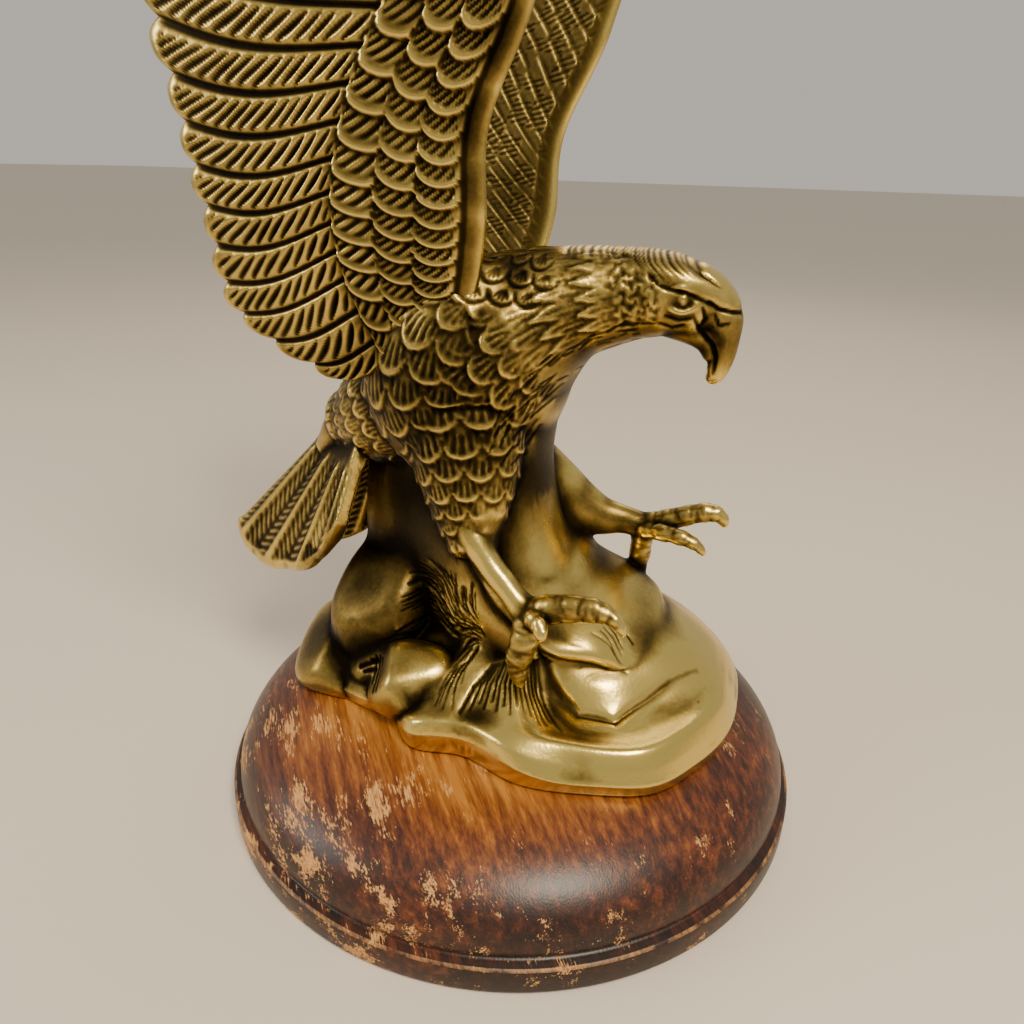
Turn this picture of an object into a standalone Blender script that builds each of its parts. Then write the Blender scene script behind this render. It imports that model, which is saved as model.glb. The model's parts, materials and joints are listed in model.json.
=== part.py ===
"""Cast brass eagle alighting on a rock, screwed down on a turned wood plinth.

The bird faces +X with its right side to -Y. The origin is the centre of the
plinth's underside. Forms are worked out in millimetres and written in metres.
The eagle, its tail, legs and the rock under it are one casting. The wood
plinth is the second piece.
"""
import math

import bmesh
import bpy
import numpy as np

MM = 0.001

# Driving dimensions of the plinth, from the lip inwards and from the foot up
PLINTH_RADIUS = 80.0
PLINTH_HEIGHT = 27.2
LIP_HEIGHT = 7.2
LIP_STEP = 2.1
GROOVE_HEIGHT = 2.0
OVOLO_WIDTH = 29.1
FOOT_ROUND = 1.2
SEAT_GAP = 0.3

# Driving dimensions of the casting. Its forms are shares of FIGURE_HEIGHT: they are drawn
# below in millimetres for a figure of DRAWN_HEIGHT that stands on a seat at DRAWN_SEAT
FIGURE_HEIGHT = 243.2
DRAWN_HEIGHT = 243.2
DRAWN_SEAT = 27.5
WING_FEATHERS = 18
WING_COVERT_SHARE = 0.4
WING_THICKNESS = 5.0
FEATHER_DEPTH = 1.4
FEATHER_SCALLOP = 4.5
TAIL_FEATHERS = 8
TAIL_THICKNESS = 4.2
SCALE_WIDTH = 9.5
SCALE_PITCH = 8.0
SCALE_DEPTH = 1.1
CAST_CELL = 0.85
CAST_FACETS = 8300

# Half a wing's outline from the lowest feather to the top one, every third feather:
# the leading edge, the end of the coverts and the notch between two feather tips
LEADING_EDGE = [(-12, 124), (-5, 136), (-1, 152), (0, 171), (10, 194), (13, 220), (-5, 256)]
COVERT_EDGE = [(-26, 121), (-33, 140), (-33, 158), (-26, 178), (-14, 197), (-8, 222), (-14, 260)]
TRAILING_EDGE = [(-38, 116), (-62, 130), (-66, 154), (-70, 180), (-74, 212), (-67, 244), (-40, 270)]
WING_OFFSET = [15, 19, 22.5, 24, 25.5, 29, 35]

# Rock outline on the plinth, seen from above
ROCK_OUTLINE = [
    (-55, -20), (-45, -28), (-33, -32), (-22, -34), (-12, -42), (2, -40), (18, -44), (36, -40),
    (49, -34), (57, -22), (62, -9), (63, 5), (60, 24), (50, 38), (36, 45), (18, 47), (0, 45),
    (-18, 42), (-34, 37), (-49, 27), (-58, 12), (-60, -4),
]
ROCK_CENTRE = (6.0, 0.0)

SEAT = PLINTH_HEIGHT + SEAT_GAP
GROW = FIGURE_HEIGHT / DRAWN_HEIGHT


def level(z):
    """Drawn height to the height over the plinth's underside."""
    return SEAT + (np.asarray(z, dtype=float) - DRAWN_SEAT) * GROW


def smooth(stations, t):
    """Catmull-Rom values through evenly spaced stations, for t from 0 to 1."""
    p = np.asarray(stations, dtype=float)
    if p.ndim == 1:
        p = p[:, None]
    last = len(p) - 1
    x = np.clip(np.asarray(t, dtype=float), 0.0, 1.0) * last
    i = np.minimum(x.astype(int), last - 1)
    f = (x - i)[:, None]
    a = p[np.maximum(i - 1, 0)]
    b = p[i]
    c = p[i + 1]
    d = p[np.minimum(i + 2, last)]
    return b + 0.5 * f * (c - a + f * (2 * a - 5 * b + 4 * c - d + f * (3 * (b - c) + d - a)))


def unit(v):
    return v / np.maximum(np.linalg.norm(v, axis=-1, keepdims=True), 1e-9)


def scales(across, down, width, pitch, depth):
    """Height of rounded feathers that overlap like tiles, each over the next one down."""
    row = np.floor(down / pitch)
    height = np.zeros_like(across)
    for back in (0, 1):
        j = row - back
        a = (across / width + 0.5 * (j % 2)) % 1.0 - 0.5
        b = down / pitch - j
        tip = 1.0 + 0.75 * np.sqrt(np.clip(1.0 - (2.0 * a) ** 2, 0.0, 1.0))
        inside = b < tip
        height = np.where(inside, depth * b / 1.75 - 0.25 * depth * (2 * a) ** 2, height)
    return height


def add_shell(bm, around, rings, place):
    """Add a closed shell: a sphere whose points are moved by place(u, v)."""
    made = bmesh.ops.create_uvsphere(bm, u_segments=around, v_segments=rings, radius=1.0)
    verts = made["verts"]
    co = np.array([v.co for v in verts])
    u = (np.arctan2(co[:, 1], co[:, 0]) / (2 * math.pi)) % 1.0
    u = np.round(u * around) % around / around
    v = np.round(np.arccos(np.clip(co[:, 2], -1, 1)) / math.pi * rings) / rings
    for vert, p in zip(verts, place(u, v)):
        vert.co = p


def add_limb(bm, stations, around=14, rings=14, side=(0, 1, 0), cap=0.12, bulge=0.6, relief=None):
    """Add a limb through stations of (x, y, z, side radius, other radius), with round ends."""
    table = np.asarray(stations, dtype=float) * GROW
    table[:, 2] = level(np.asarray(stations, dtype=float)[:, 2])
    side = np.asarray(side, dtype=float)
    length = np.linalg.norm(np.diff(table[:, :3], axis=0), axis=1).sum()

    def place(u, v):
        t = np.clip((v - cap) / (1 - 2 * cap), 0.0, 1.0)
        row = smooth(table, t)
        centre = row[:, :3]
        tangent = unit(smooth(table, t + 0.01)[:, :3] - smooth(table, t - 0.01)[:, :3])
        across = unit(side - tangent * (tangent @ side)[:, None])
        up = np.cross(across, tangent)
        end = np.minimum(v, 1 - v) / cap
        turn = np.clip(end, 0, 1) * math.pi / 2
        r_side = row[:, 3] * np.sin(turn)
        r_up = row[:, 4] * np.sin(turn)
        push = np.where(v < 0.5, -1.0, 1.0) * np.cos(turn) * bulge * np.minimum(row[:, 3], row[:, 4])
        angle = u * 2 * math.pi
        if relief is not None:
            rise = relief(u, t, row, length) * np.sin(turn)
            r_side = r_side + rise
            r_up = r_up + rise
        return (centre + tangent * push[:, None] + across * (r_side * np.cos(angle))[:, None]
                + up * (r_up * np.sin(angle))[:, None])

    add_shell(bm, around, rings, place)


def rise_between(x, low, high):
    """0 below low, 1 above high and a smooth rise between."""
    f = np.clip((x - low) / (high - low), 0.0, 1.0)
    return f * f * (3 - 2 * f)


def body_scales(width, pitch, depth, to_end=False):
    """Relief for a limb whose feathers point back to its start, or on to its end."""
    def relief(u, t, row, length):
        girth = math.pi * (row[:, 3].mean() + row[:, 4].mean())
        count = max(3, round(girth / width))
        return scales(u * count, (t if to_end else 1 - t) * length, 1.0, pitch, depth)
    return relief


def wing_place(sign):
    """Placing function of one wing: the outer face first, then the inner one."""
    def place(u, v):
        rings = v
        s = np.clip((rings - 0.015) / 0.97, 0.0, 1.0)
        c = np.where(u <= 0.5, 2 * u, 2 - 2 * u)
        face = np.where(u <= 0.5, 1.0, -1.0)
        pole = (v < 1e-6) | (v > 1 - 1e-6)
        c = np.where(pole, 0.5, c)
        lead = smooth(LEADING_EDGE, s)
        mid = smooth(COVERT_EDGE, s)
        trail = smooth(TRAILING_EDGE, s)
        for edge in (lead, mid, trail):
            edge[:, 0] *= GROW
            edge[:, 1] = level(edge[:, 1])
        offset = smooth(WING_OFFSET, s)[:, 0] * GROW
        f = (s * WING_FEATHERS) % 1.0
        f = np.where(s >= 1.0, 1.0, f)
        ridge = np.abs(2 * f - 1)
        blade = np.clip((c - WING_COVERT_SHARE) / (1 - WING_COVERT_SHARE), 0.0, 1.0)
        near = np.clip(c / WING_COVERT_SHARE, 0.0, 1.0)[:, None]
        flat = lead + (mid - lead) * near + (trail - mid) * blade[:, None]
        out = unit(trail - mid)
        reach = FEATHER_SCALLOP * (0.7 + 0.9 * np.clip(2 * s - 0.9, 0, 1))
        flat = flat + out * (reach * (1 - ridge ** 2.4) * blade ** 2)[:, None]
        flat[:, 1] -= 2.0 * np.sin(math.pi * blade)
        body = np.sqrt(np.clip(c / 0.07, 0, 1)) * (1 - 0.4 * c) * np.sqrt(np.clip((1 - c) / 0.03, 0, 1))
        half = 0.5 * WING_THICKNESS * body
        down = c * 80.0 * GROW
        tiles = scales(s * 190.0 * GROW, down, SCALE_WIDTH, SCALE_PITCH, SCALE_DEPTH)
        quill = -FEATHER_DEPTH * (ridge ** 3) + 0.5 * f
        on_blade = np.clip((c - WING_COVERT_SHARE) / 0.06, 0, 1)
        relief = (tiles - 0.4) * (1 - on_blade) * np.clip((c - 0.1) / 0.05, 0, 1) + quill * on_blade
        relief = np.where(pole, 0.0, relief * np.clip((1 - c) / 0.05, 0, 1))
        half = np.where(pole, 0.0, np.maximum(half + relief, np.minimum(1.0, 2.2 * body)))
        y = offset + GROW * (7.0 * c + 2.5 * np.sin(math.pi * c)) + face * half
        return np.stack([flat[:, 0], sign * y, flat[:, 1]], axis=1)
    return place


def tail_place(u, v):
    """The tail is a fan folded like a roof, its middle feathers the longest."""
    s = np.clip((v - 0.02) / 0.96, 0.0, 1.0) * 2 - 1
    c = np.where(u <= 0.5, 2 * u, 2 - 2 * u)
    face = np.where(u <= 0.5, 1.0, -1.0)
    pole = (v < 1e-6) | (v > 1 - 1e-6)
    c = np.where(pole, 0.5, c)
    q = np.abs(s)
    root = np.stack([(-50 + 10 * q) * GROW, 12 * s * GROW, level(101 - 7 * q)], axis=1)
    tips = smooth([(-94, 0, 57), (-84, 5.5, 51), (-68, 11, 54), (-54, 16, 61), (-43, 19, 72)], q)
    tips = np.stack([tips[:, 0] * GROW, tips[:, 1] * np.sign(s) * GROW, level(tips[:, 2])], axis=1)
    f = ((s + 1) / 2 * TAIL_FEATHERS) % 1.0
    ridge = np.abs(2 * f - 1)
    along = unit(tips - root)
    point = root + (tips - root) * c[:, None] + along * (3.0 * (1 - ridge ** 2.4) * c ** 2)[:, None]
    spread = unit(np.stack([28 * np.ones_like(s), 20 * np.where(s < 0, -1.0, 1.0), 14 * np.ones_like(s)], 1))
    normal = unit(np.cross(along, spread)) * np.where(s < 0, 1.0, -1.0)[:, None]
    body = np.sqrt(np.clip((1 - c) / 0.05, 0, 1))
    half = 0.5 * TAIL_THICKNESS * body - 0.9 * (ridge ** 3) * np.clip(c / 0.3, 0, 1) * body
    half = np.where(pole, 0.0, np.maximum(half, 0.2))
    return point + normal * (face * half)[:, None]


# Height of the rock against the share of the way out to its edge, in three sectors. The crease
# inside the front ledge runs at its own share for each bearing from the rock's centre
ROCK_SHARES = [0.0, 0.2, 0.36, 0.5, 0.62, 0.72, 0.80, 0.87, 0.93, 0.97, 1.0]
ROCK_DOME = [56, 56, 55.2, 53.6, 51.2, 48.0, 44.8, 41.4, 37.8, 34.6, 31.5]
ROCK_LEDGE = [55, 54, 52.2, 49.6, 46.2, 40.6, 38.9, 38.4, 37.9, 36.8, 33.0]
ROCK_BACK = [55, 53, 50, 47, 44, 41, 38.5, 36.5, 34.5, 33, 31]
CREASE = [(-128, 0.66), (-90, 0.58), (-62, 0.56), (-52, 0.66), (-27, 0.73), (-2, 0.80), (20, 0.84)]


def rock_height(share, bearing):
    """Height of the rock's top in drawn millimetres."""
    crease = np.interp(bearing, [a for a, _ in CREASE], [b for _, b in CREASE])
    warped = np.where(share < crease, share / crease * 0.72, 0.72 + (share - crease) / (1 - crease) * 0.28)
    knots = np.linspace(0, 1, len(ROCK_SHARES))
    dome = smooth(ROCK_DOME, np.interp(share, ROCK_SHARES, knots))[:, 0]
    back = smooth(ROCK_BACK, np.interp(share, ROCK_SHARES, knots))[:, 0]
    ledge = smooth(ROCK_LEDGE, np.interp(warped, ROCK_SHARES, knots))[:, 0]
    is_ledge = rise_between(bearing, -128, -104) * (1 - rise_between(bearing, -24, 10))
    is_dome = rise_between(bearing, -24, 10) * (1 - rise_between(bearing, 75, 130))
    height = ledge * is_ledge + dome * is_dome + back * (1 - is_ledge - is_dome)
    turn = np.radians(bearing)
    lump = 0.6 * np.sin(3 * turn + 1.0 + 2 * share) + 0.5 * np.sin(5 * turn + 2.1)
    return height + lump * rise_between(share, 0.2, 0.6) * (1 - rise_between(share, 0.9, 1.0)) * (1 - 0.8 * is_dome)


def rock_place(u, v):
    """Rock: scaled copies of its outline, from a flat underside up to the bird's column."""
    out = smooth(ROCK_OUTLINE + ROCK_OUTLINE[:1], u) - np.array(ROCK_CENTRE)
    bearing = np.degrees(np.arctan2(out[:, 1], out[:, 0]))
    floor = DRAWN_SEAT - 4
    share = np.interp(v, [0.0, 0.80, 0.90, 1.0], [0.0, 1.0, 0.98, 0.0])
    height = rock_height(share, bearing)
    wall = floor + (height - floor) * np.clip((0.90 - v) / 0.10, 0, 1)
    z = np.where(v <= 0.80, height, wall)
    flat = np.array(ROCK_CENTRE) + out * share[:, None]
    return np.stack([flat[:, 0] * GROW, flat[:, 1] * GROW, level(z)], axis=1)


def column_place(u, v):
    """Smooth column under the belly: narrow at the back, as wide as the two legs in front."""
    # Height, rear and front limits, near and far limits
    levels = [(118, -30, 4, -20, 20), (106, -38, 8, -21, 21), (95, -43, 7.5, -22, 21), (85, -44.5, 9, -23, 20),
              (75, -45.5, 12, -24, 20), (65, -46, 17, -24.5, 21), (57, -49, 25, -25, 23), (50, -53, 35, -25, 26),
              (44, -55, 42, -26, 28), (38, -54, 44, -26, 28)]
    row = smooth(levels, np.clip((v - 0.04) / 0.92, 0, 1))
    turn = np.clip(np.minimum(v, 1 - v) / 0.04, 0, 1)
    angle = u * 2 * math.pi
    x = np.sign(np.cos(angle)) * np.abs(np.cos(angle)) ** 0.85
    y = np.sign(np.sin(angle)) * np.abs(np.sin(angle)) ** 0.85
    side = np.where(y < 0, -row[:, 3], row[:, 4]) * (0.74 + 0.26 * np.sin(math.pi / 2 * np.clip(x * 1.6, -1, 1)))
    middle = (row[:, 1] + row[:, 2]) / 2
    reach = (row[:, 2] - row[:, 1]) / 2 * x * turn
    return np.stack([(middle + reach) * GROW, side * y * turn * GROW, level(row[:, 0])], axis=1)


def boulder_place(centre, radii, facets):
    """A boulder: a rounded blob with soft flats round it, standing on the plinth's level."""
    def place(u, v):
        a = u * 2 * math.pi
        b = v * math.pi
        d = np.stack([np.sin(b) * np.cos(a), np.sin(b) * np.sin(a), np.cos(b)], axis=1)
        press = 1.0 / (np.abs(d) ** 2.8).sum(1) ** (-12 / 2.8)
        for n in facets:
            n = np.array(n) / np.linalg.norm(n)
            press = press + np.clip(d @ n / 0.84, 0, None) ** 12
        p = np.array(centre) + d * (press ** (-1 / 12))[:, None] * np.array(radii)
        p[:, 2] = np.maximum(p[:, 2], DRAWN_SEAT - 3.5)
        return np.stack([p[:, 0] * GROW, p[:, 1] * GROW, level(p[:, 2])], axis=1)
    return place


# Centre, radii and the directions of the flats
BOULDERS = [
    ((-44, -14, 33), (16.5, 17.5, 12.5), [(-1, -1, 0.9), (0.4, -1, 0.7)]),
    ((-35, -8, 45), (15, 18, 22), [(-0.3, -0.7, 1)]),
    ((-20, -28, 36), (11.5, 9.5, 9), [(-1, -0.6, 0.6), (0.7, -1, 0.5), (0, 0, 1)]),
    ((-5, -31, 35), (8.5, 8, 7), [(-0.4, -1, 0.8), (0.8, -0.2, 0.7)]),
]


def add_foot(bm, toes):
    for toe in toes:
        add_limb(bm, toe, around=8, rings=12, cap=0.1)


def casting_mesh():
    bm = bmesh.new()
    plumage = body_scales(SCALE_WIDTH, SCALE_PITCH, SCALE_DEPTH)
    hanging = body_scales(SCALE_WIDTH, SCALE_PITCH, SCALE_DEPTH, to_end=True)
    # Trunk, neck and head in one run from the rump to the face
    trunk = [(-51, 0, 98, 9, 8), (-42, 0, 101, 15, 14), (-31, 0, 107, 19, 19), (-20, 0, 114, 23, 23),
             (-9, 0, 121, 25, 25), (1, 0, 128.5, 22, 19), (11, 0, 134, 16, 13.8), (20, 0, 136.5, 12.5, 11.6),
             (28, 0, 138, 10.5, 10.2), (35, 0, 138.3, 9.6, 9.3), (41, 0, 137, 7.6, 8)]
    add_limb(bm, trunk, around=36, rings=44, cap=0.06, relief=plumage)
    # Flanks carry the scale feathers from the wing roots down to the thighs
    for sign in (-1, 1):
        flank = [(-4, 12 * sign, 139, 10.5, 11), (-12, 13 * sign, 128, 12, 19.5), (-15, 12.5 * sign, 114, 13, 22),
                 (-12, 13 * sign, 103, 11.5, 17), (-8, 14 * sign, 95, 9, 11)]
        add_limb(bm, flank, around=28, rings=26, cap=0.12, relief=hanging)
    add_shell(bm, 40, 30, column_place)
    # Beak hooked down, lower jaw, brows and eyes
    beak = [(38, 0, 137, 7, 8), (43, 0, 136.2, 5.8, 7.2), (46, 0, 133.3, 4.5, 5.3), (47.3, 0, 129, 3.4, 3.6),
            (47.3, 0, 125, 2.7, 2.9), (46.6, 0, 121.6, 2.1, 2.3), (45.6, 0, 120, 1.4, 1.5)]
    add_limb(bm, beak, around=14, rings=18, cap=0.1)
    add_limb(bm, [(36, 0, 132, 4.5, 3), (41, 0, 129.5, 3.4, 2.4), (44, 0, 127.3, 2.2, 1.6)], cap=0.2)
    for sign in (-1, 1):
        brow = [(31, 9.0 * sign, 142, 1.6, 1.4), (37, 9.2 * sign, 141.6, 2, 1.6), (43, 6 * sign, 139.5, 1.6, 1.4)]
        add_limb(bm, brow, around=8, rings=10, cap=0.2)
        add_limb(bm, [(38.2, 7.6 * sign, 138.6, 1.8, 1.8), (39.6, 7.8 * sign, 138.6, 1.8, 1.8)], 8, 8, cap=0.4)
    # Thighs, shanks and feet. The near leg reaches down, the far one forward
    near_thigh = [(-11, -12.5, 108, 13, 17), (-9, -14.5, 98, 11.5, 14.5), (-7, -17, 89, 9.5, 11.5),
                  (-5.5, -19.5, 82, 7, 8.5), (-4, -22, 77, 4.5, 5.5)]
    add_limb(bm, near_thigh, around=20, rings=20, relief=body_scales(8, 7, 0.9, to_end=True))
    near_shank = [(-4, -24, 81, 4, 4), (2, -24.7, 74.5, 3.5, 3.6), (8, -25.8, 69, 3.4, 3.5),
                  (13, -26.5, 64.5, 3.8, 3.9)]
    add_limb(bm, near_shank)
    far_thigh = [(-13, 11, 104, 13, 14), (-8, 14, 95, 10, 10.5), (-3, 16, 88, 7.5, 8), (4, 18, 81.5, 5.5, 6)]
    add_limb(bm, far_thigh, around=20, rings=18)
    far_shank = [(-2, 15, 83, 9, 12), (8, 17.5, 76.6, 7.2, 9.8), (17, 19, 73.6, 5, 6.2),
                 (24, 20, 73, 3.7, 4.1), (30, 20.5, 72, 3.6, 3.7)]
    add_limb(bm, far_shank, around=18)
    # A smooth web joins the legs and runs down into the rock; its near side lies further back
    web = [(-5, -8, 92, 17, 6), (-1, -6, 81, 18.5, 5.5), (3, -4, 73, 20, 5.5), (7.5, -3.5, 67, 21.5, 5.5),
           (13, -3, 62.5, 23, 5.5), (19, -1, 58.5, 23.5, 5.5), (28, 2, 54.5, 21, 5), (38, 5, 49, 17, 4)]
    add_limb(bm, web, around=28, rings=24, side=(0.28, 0.96, 0), cap=0.06)
    near_foot = [
        [(13, -26.5, 64.5, 3.7, 3.7), (18, -27, 67.2, 3.4, 3.8), (24, -27, 69, 3.1, 3.5), (30, -27, 69.5, 3, 3.2),
         (34, -27.5, 68.2, 2.2, 2.4), (36, -28, 66.6, 1.6, 1.7)],
        [(13, -27, 64, 3.6, 3.6), (13, -29, 58.5, 3.5, 3.5), (12, -30, 53, 3, 3.1), (12.5, -30, 47, 2.2, 2.3)],
        [(14, -27, 65, 3.2, 3.2), (17, -31, 66, 2.7, 2.9), (19.5, -34, 65.5, 2.1, 2.2)],
    ]
    far_foot = [
        [(30, 20.5, 72, 3.4, 3.5), (36, 21, 74.4, 3.1, 3.3), (42, 21.5, 77, 2.9, 3), (48, 22, 78.4, 2.9, 3),
         (51, 22, 77.4, 2.5, 2.6)],
        [(30, 19.5, 71.5, 3, 3), (36, 17, 72.4, 2.5, 2.4), (42, 15.5, 72.4, 2.2, 2.1), (46.5, 15, 70.8, 1.7, 1.6)],
        [(30, 20.5, 71, 3.2, 3.3), (29.5, 21.5, 63, 2.9, 3), (29, 22, 56, 2.5, 2.7), (31, 22, 48, 2, 2.2)],
    ]
    add_foot(bm, near_foot)
    add_foot(bm, far_foot)
    # Wings, tail and rock
    for sign in (-1, 1):
        add_shell(bm, 72, WING_FEATHERS * 8, wing_place(sign))
    add_shell(bm, 40, TAIL_FEATHERS * 6, tail_place)
    add_limb(bm, [(-38, 0, 104, 12, 12), (-49, 0, 98, 9, 8), (-58, 0, 89, 5, 4)], around=16, rings=12)
    add_shell(bm, 66, 44, rock_place)
    for centre, radii, facets in BOULDERS:
        add_shell(bm, 24, 16, boulder_place(centre, radii, facets))
    for vert in bm.verts:
        vert.co *= MM
    bmesh.ops.recalc_face_normals(bm, faces=bm.faces)
    mesh = bpy.data.meshes.new("eagle_casting")
    bm.to_mesh(mesh)
    bm.free()
    return mesh


def make_material(name, rgb, roughness, metallic):
    material = bpy.data.materials.new(name)
    material.use_nodes = True
    shader = material.node_tree.nodes["Principled BSDF"]
    shader.inputs["Base Color"].default_value = (*rgb, 1.0)
    shader.inputs["Roughness"].default_value = roughness
    shader.inputs["Metallic"].default_value = metallic
    return material


def make_casting(collection, seat_cutter):
    obj = bpy.data.objects.new("eagle_casting", casting_mesh())
    collection.objects.link(obj)
    obj.data.materials.append(make_material("aged cast brass", (0.36, 0.24, 0.07), 0.38, 1.0))
    remesh = obj.modifiers.new("cast as one", "REMESH")
    remesh.mode = "VOXEL"
    remesh.voxel_size = CAST_CELL * MM
    soften = obj.modifiers.new("soften", "SMOOTH")
    soften.factor = 0.5
    soften.iterations = 1
    bpy.context.view_layer.update()
    evaluated = obj.evaluated_get(bpy.context.evaluated_depsgraph_get())
    faces = sum(len(p.vertices) - 2 for p in evaluated.data.polygons)
    reduce = obj.modifiers.new("facets", "DECIMATE")
    reduce.ratio = CAST_FACETS / faces
    seat = obj.modifiers.new("flat seat", "BOOLEAN")
    seat.operation = "DIFFERENCE"
    seat.solver = "EXACT"
    seat.object = seat_cutter
    obj.data.shade_smooth()
    return obj


def make_seat_cutter(collection):
    """Block that cuts the casting's underside flat, a hair above the plinth's top."""
    width = 3.2 * max(max(abs(x), abs(y)) for x, y in ROCK_OUTLINE) * GROW
    depth = 0.5 * PLINTH_HEIGHT
    bm = bmesh.new()
    bmesh.ops.create_cube(bm, size=1.0)
    for vert in bm.verts:
        vert.co.x *= width * MM
        vert.co.y *= width * MM
        vert.co.z = (SEAT + (vert.co.z - 0.5) * depth) * MM
    mesh = bpy.data.meshes.new("seat_cutter")
    bm.to_mesh(mesh)
    bm.free()
    obj = bpy.data.objects.new("seat_cutter", mesh)
    obj.hide_render = True
    obj.display_type = "WIRE"
    collection.objects.link(obj)
    return obj


def make_plinth(collection):
    """Turned profile from the top centre, out over the ovolo, lip and foot, back underneath."""
    shoulder = PLINTH_RADIUS - LIP_STEP
    top = shoulder - OVOLO_WIDTH
    start = LIP_HEIGHT + GROOVE_HEIGHT
    points = [(0.0, PLINTH_HEIGHT), (top, PLINTH_HEIGHT)]
    steps = 9
    for i in range(1, steps + 1):
        a = i / steps * math.pi / 2
        points.append((top + OVOLO_WIDTH * math.sin(a), start + (PLINTH_HEIGHT - start) * math.cos(a)))
    points += [(shoulder - 0.9, start - 0.5 * GROOVE_HEIGHT), (PLINTH_RADIUS - 0.6 * LIP_STEP, LIP_HEIGHT),
               (PLINTH_RADIUS, LIP_HEIGHT - 0.8), (PLINTH_RADIUS, FOOT_ROUND),
               (PLINTH_RADIUS - FOOT_ROUND, 0.0), (0.0, 0.0)]
    bm = bmesh.new()
    verts = [bm.verts.new((r * MM, 0.0, z * MM)) for r, z in points]
    for a, b in zip(verts, verts[1:]):
        bm.edges.new((a, b))
    mesh = bpy.data.meshes.new("wood_plinth")
    bm.to_mesh(mesh)
    bm.free()
    obj = bpy.data.objects.new("wood_plinth", mesh)
    collection.objects.link(obj)
    mesh.materials.append(make_material("stained turned wood", (0.10, 0.03, 0.015), 0.35, 0.0))
    turn = obj.modifiers.new("turn", "SCREW")
    turn.steps = 48
    turn.render_steps = 48
    turn.use_merge_vertices = True
    turn.merge_threshold = 0.00001
    turn.use_smooth_shade = True
    return obj


def main():
    for obj in list(bpy.data.objects):
        bpy.data.objects.remove(obj, do_unlink=True)
    collection = bpy.data.collections.new("eagle_statue")
    bpy.context.scene.collection.children.link(collection)
    cutters = bpy.data.collections.new("cutters")
    bpy.context.scene.collection.children.link(cutters)
    make_plinth(collection)
    make_casting(collection, make_seat_cutter(cutters))


main()
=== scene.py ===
# %% [markdown]
# # A cast brass eagle on a turned wood plinth
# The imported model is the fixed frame: every size and place below comes from it. The eagle, its
# tail, its legs and the rock are one brass casting, screwed down on a dark stained plinth. The
# frame already holds their true forms with coarse carving. Here the same forms are made again
# with every feather, groove and wrinkle, and then given worn metal and worn wood.

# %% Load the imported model
import json
import math

import bmesh
import bpy
import numpy as np
from mathutils import Euler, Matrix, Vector

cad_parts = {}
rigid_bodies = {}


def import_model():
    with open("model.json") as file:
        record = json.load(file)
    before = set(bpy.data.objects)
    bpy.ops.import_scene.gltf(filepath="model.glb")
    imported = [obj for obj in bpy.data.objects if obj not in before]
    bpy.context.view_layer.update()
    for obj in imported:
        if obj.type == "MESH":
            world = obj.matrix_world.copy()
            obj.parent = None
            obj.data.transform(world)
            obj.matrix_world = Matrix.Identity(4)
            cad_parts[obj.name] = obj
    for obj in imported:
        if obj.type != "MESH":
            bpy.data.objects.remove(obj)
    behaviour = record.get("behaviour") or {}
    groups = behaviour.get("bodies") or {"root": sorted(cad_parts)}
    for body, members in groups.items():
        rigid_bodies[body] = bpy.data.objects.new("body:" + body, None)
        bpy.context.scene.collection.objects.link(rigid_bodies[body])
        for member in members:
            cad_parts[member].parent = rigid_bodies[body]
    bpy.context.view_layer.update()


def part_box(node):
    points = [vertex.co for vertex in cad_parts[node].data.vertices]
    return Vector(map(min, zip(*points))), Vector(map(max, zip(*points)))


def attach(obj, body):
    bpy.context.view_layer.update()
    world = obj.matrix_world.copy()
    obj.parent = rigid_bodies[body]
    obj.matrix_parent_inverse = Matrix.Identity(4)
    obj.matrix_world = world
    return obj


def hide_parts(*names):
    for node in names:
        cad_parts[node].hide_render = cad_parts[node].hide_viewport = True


MM = 0.001
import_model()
casting_low, casting_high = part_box("eagle_casting")
plinth_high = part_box("wood_plinth")[1]

# %% [markdown]
# ## Sizes
# The bird is drawn in millimetres for a casting that stands at 27.5 mm and is 243.2 mm tall. The
# frame says how tall it really is and where it stands, so all drawn points go through one
# function. It faces +X and its right side is to -Y.

# %% Drawn millimetres to the frame
DRAWN_SEAT = 27.5
DRAWN_HEIGHT = 243.25
SEAT = casting_low.z / MM
GROW = (casting_high.z - casting_low.z) / MM / DRAWN_HEIGHT


def to_frame(drawn):
    """Drawn points in millimetres to points of the frame in metres."""
    points = np.array(drawn, dtype=float) * GROW
    points[:, 2] += SEAT - DRAWN_SEAT * GROW
    return points * MM


print("seat", round(SEAT, 2), "mm, size against the drawing", round(GROW, 4))

# %% [markdown]
# ## Camera
# The photograph looks down at the bird from its right side, a little from the front, and cuts off
# the tops of the wings. It was taken from close by, about 25 cm away, so the wings lean outwards in
# perspective, and the lens is a wide one. No shift and no depth of field are needed.

# %% Camera at the photograph's angle
camera = bpy.data.objects.new("camera", bpy.data.cameras.new("camera"))
bpy.context.scene.collection.objects.link(camera)
camera.location = (0.06727, -0.18484, 0.16347)
turn = Euler((0, 0, math.radians(20.54))).to_matrix()
tilt = Euler((math.radians(66.67), 0, 0)).to_matrix()
roll = Euler((0, 0, math.radians(1.70))).to_matrix()
camera.rotation_euler = (turn @ tilt @ roll).to_euler()
camera.data.sensor_width = 36.0
camera.data.lens = 28.107
camera.data.clip_start = 0.01
bpy.context.scene.camera = camera
print("camera", [round(v, 3) for v in camera.location])


# %% [markdown]
# ## Colours and nodes
# Colours are written as on a paint card, as sRGB hex values, and one function turns them to the
# linear values that shaders use. One more adds a node with its settings and inputs: an input is
# either a plain value or another node's output, which is then linked.

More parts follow.
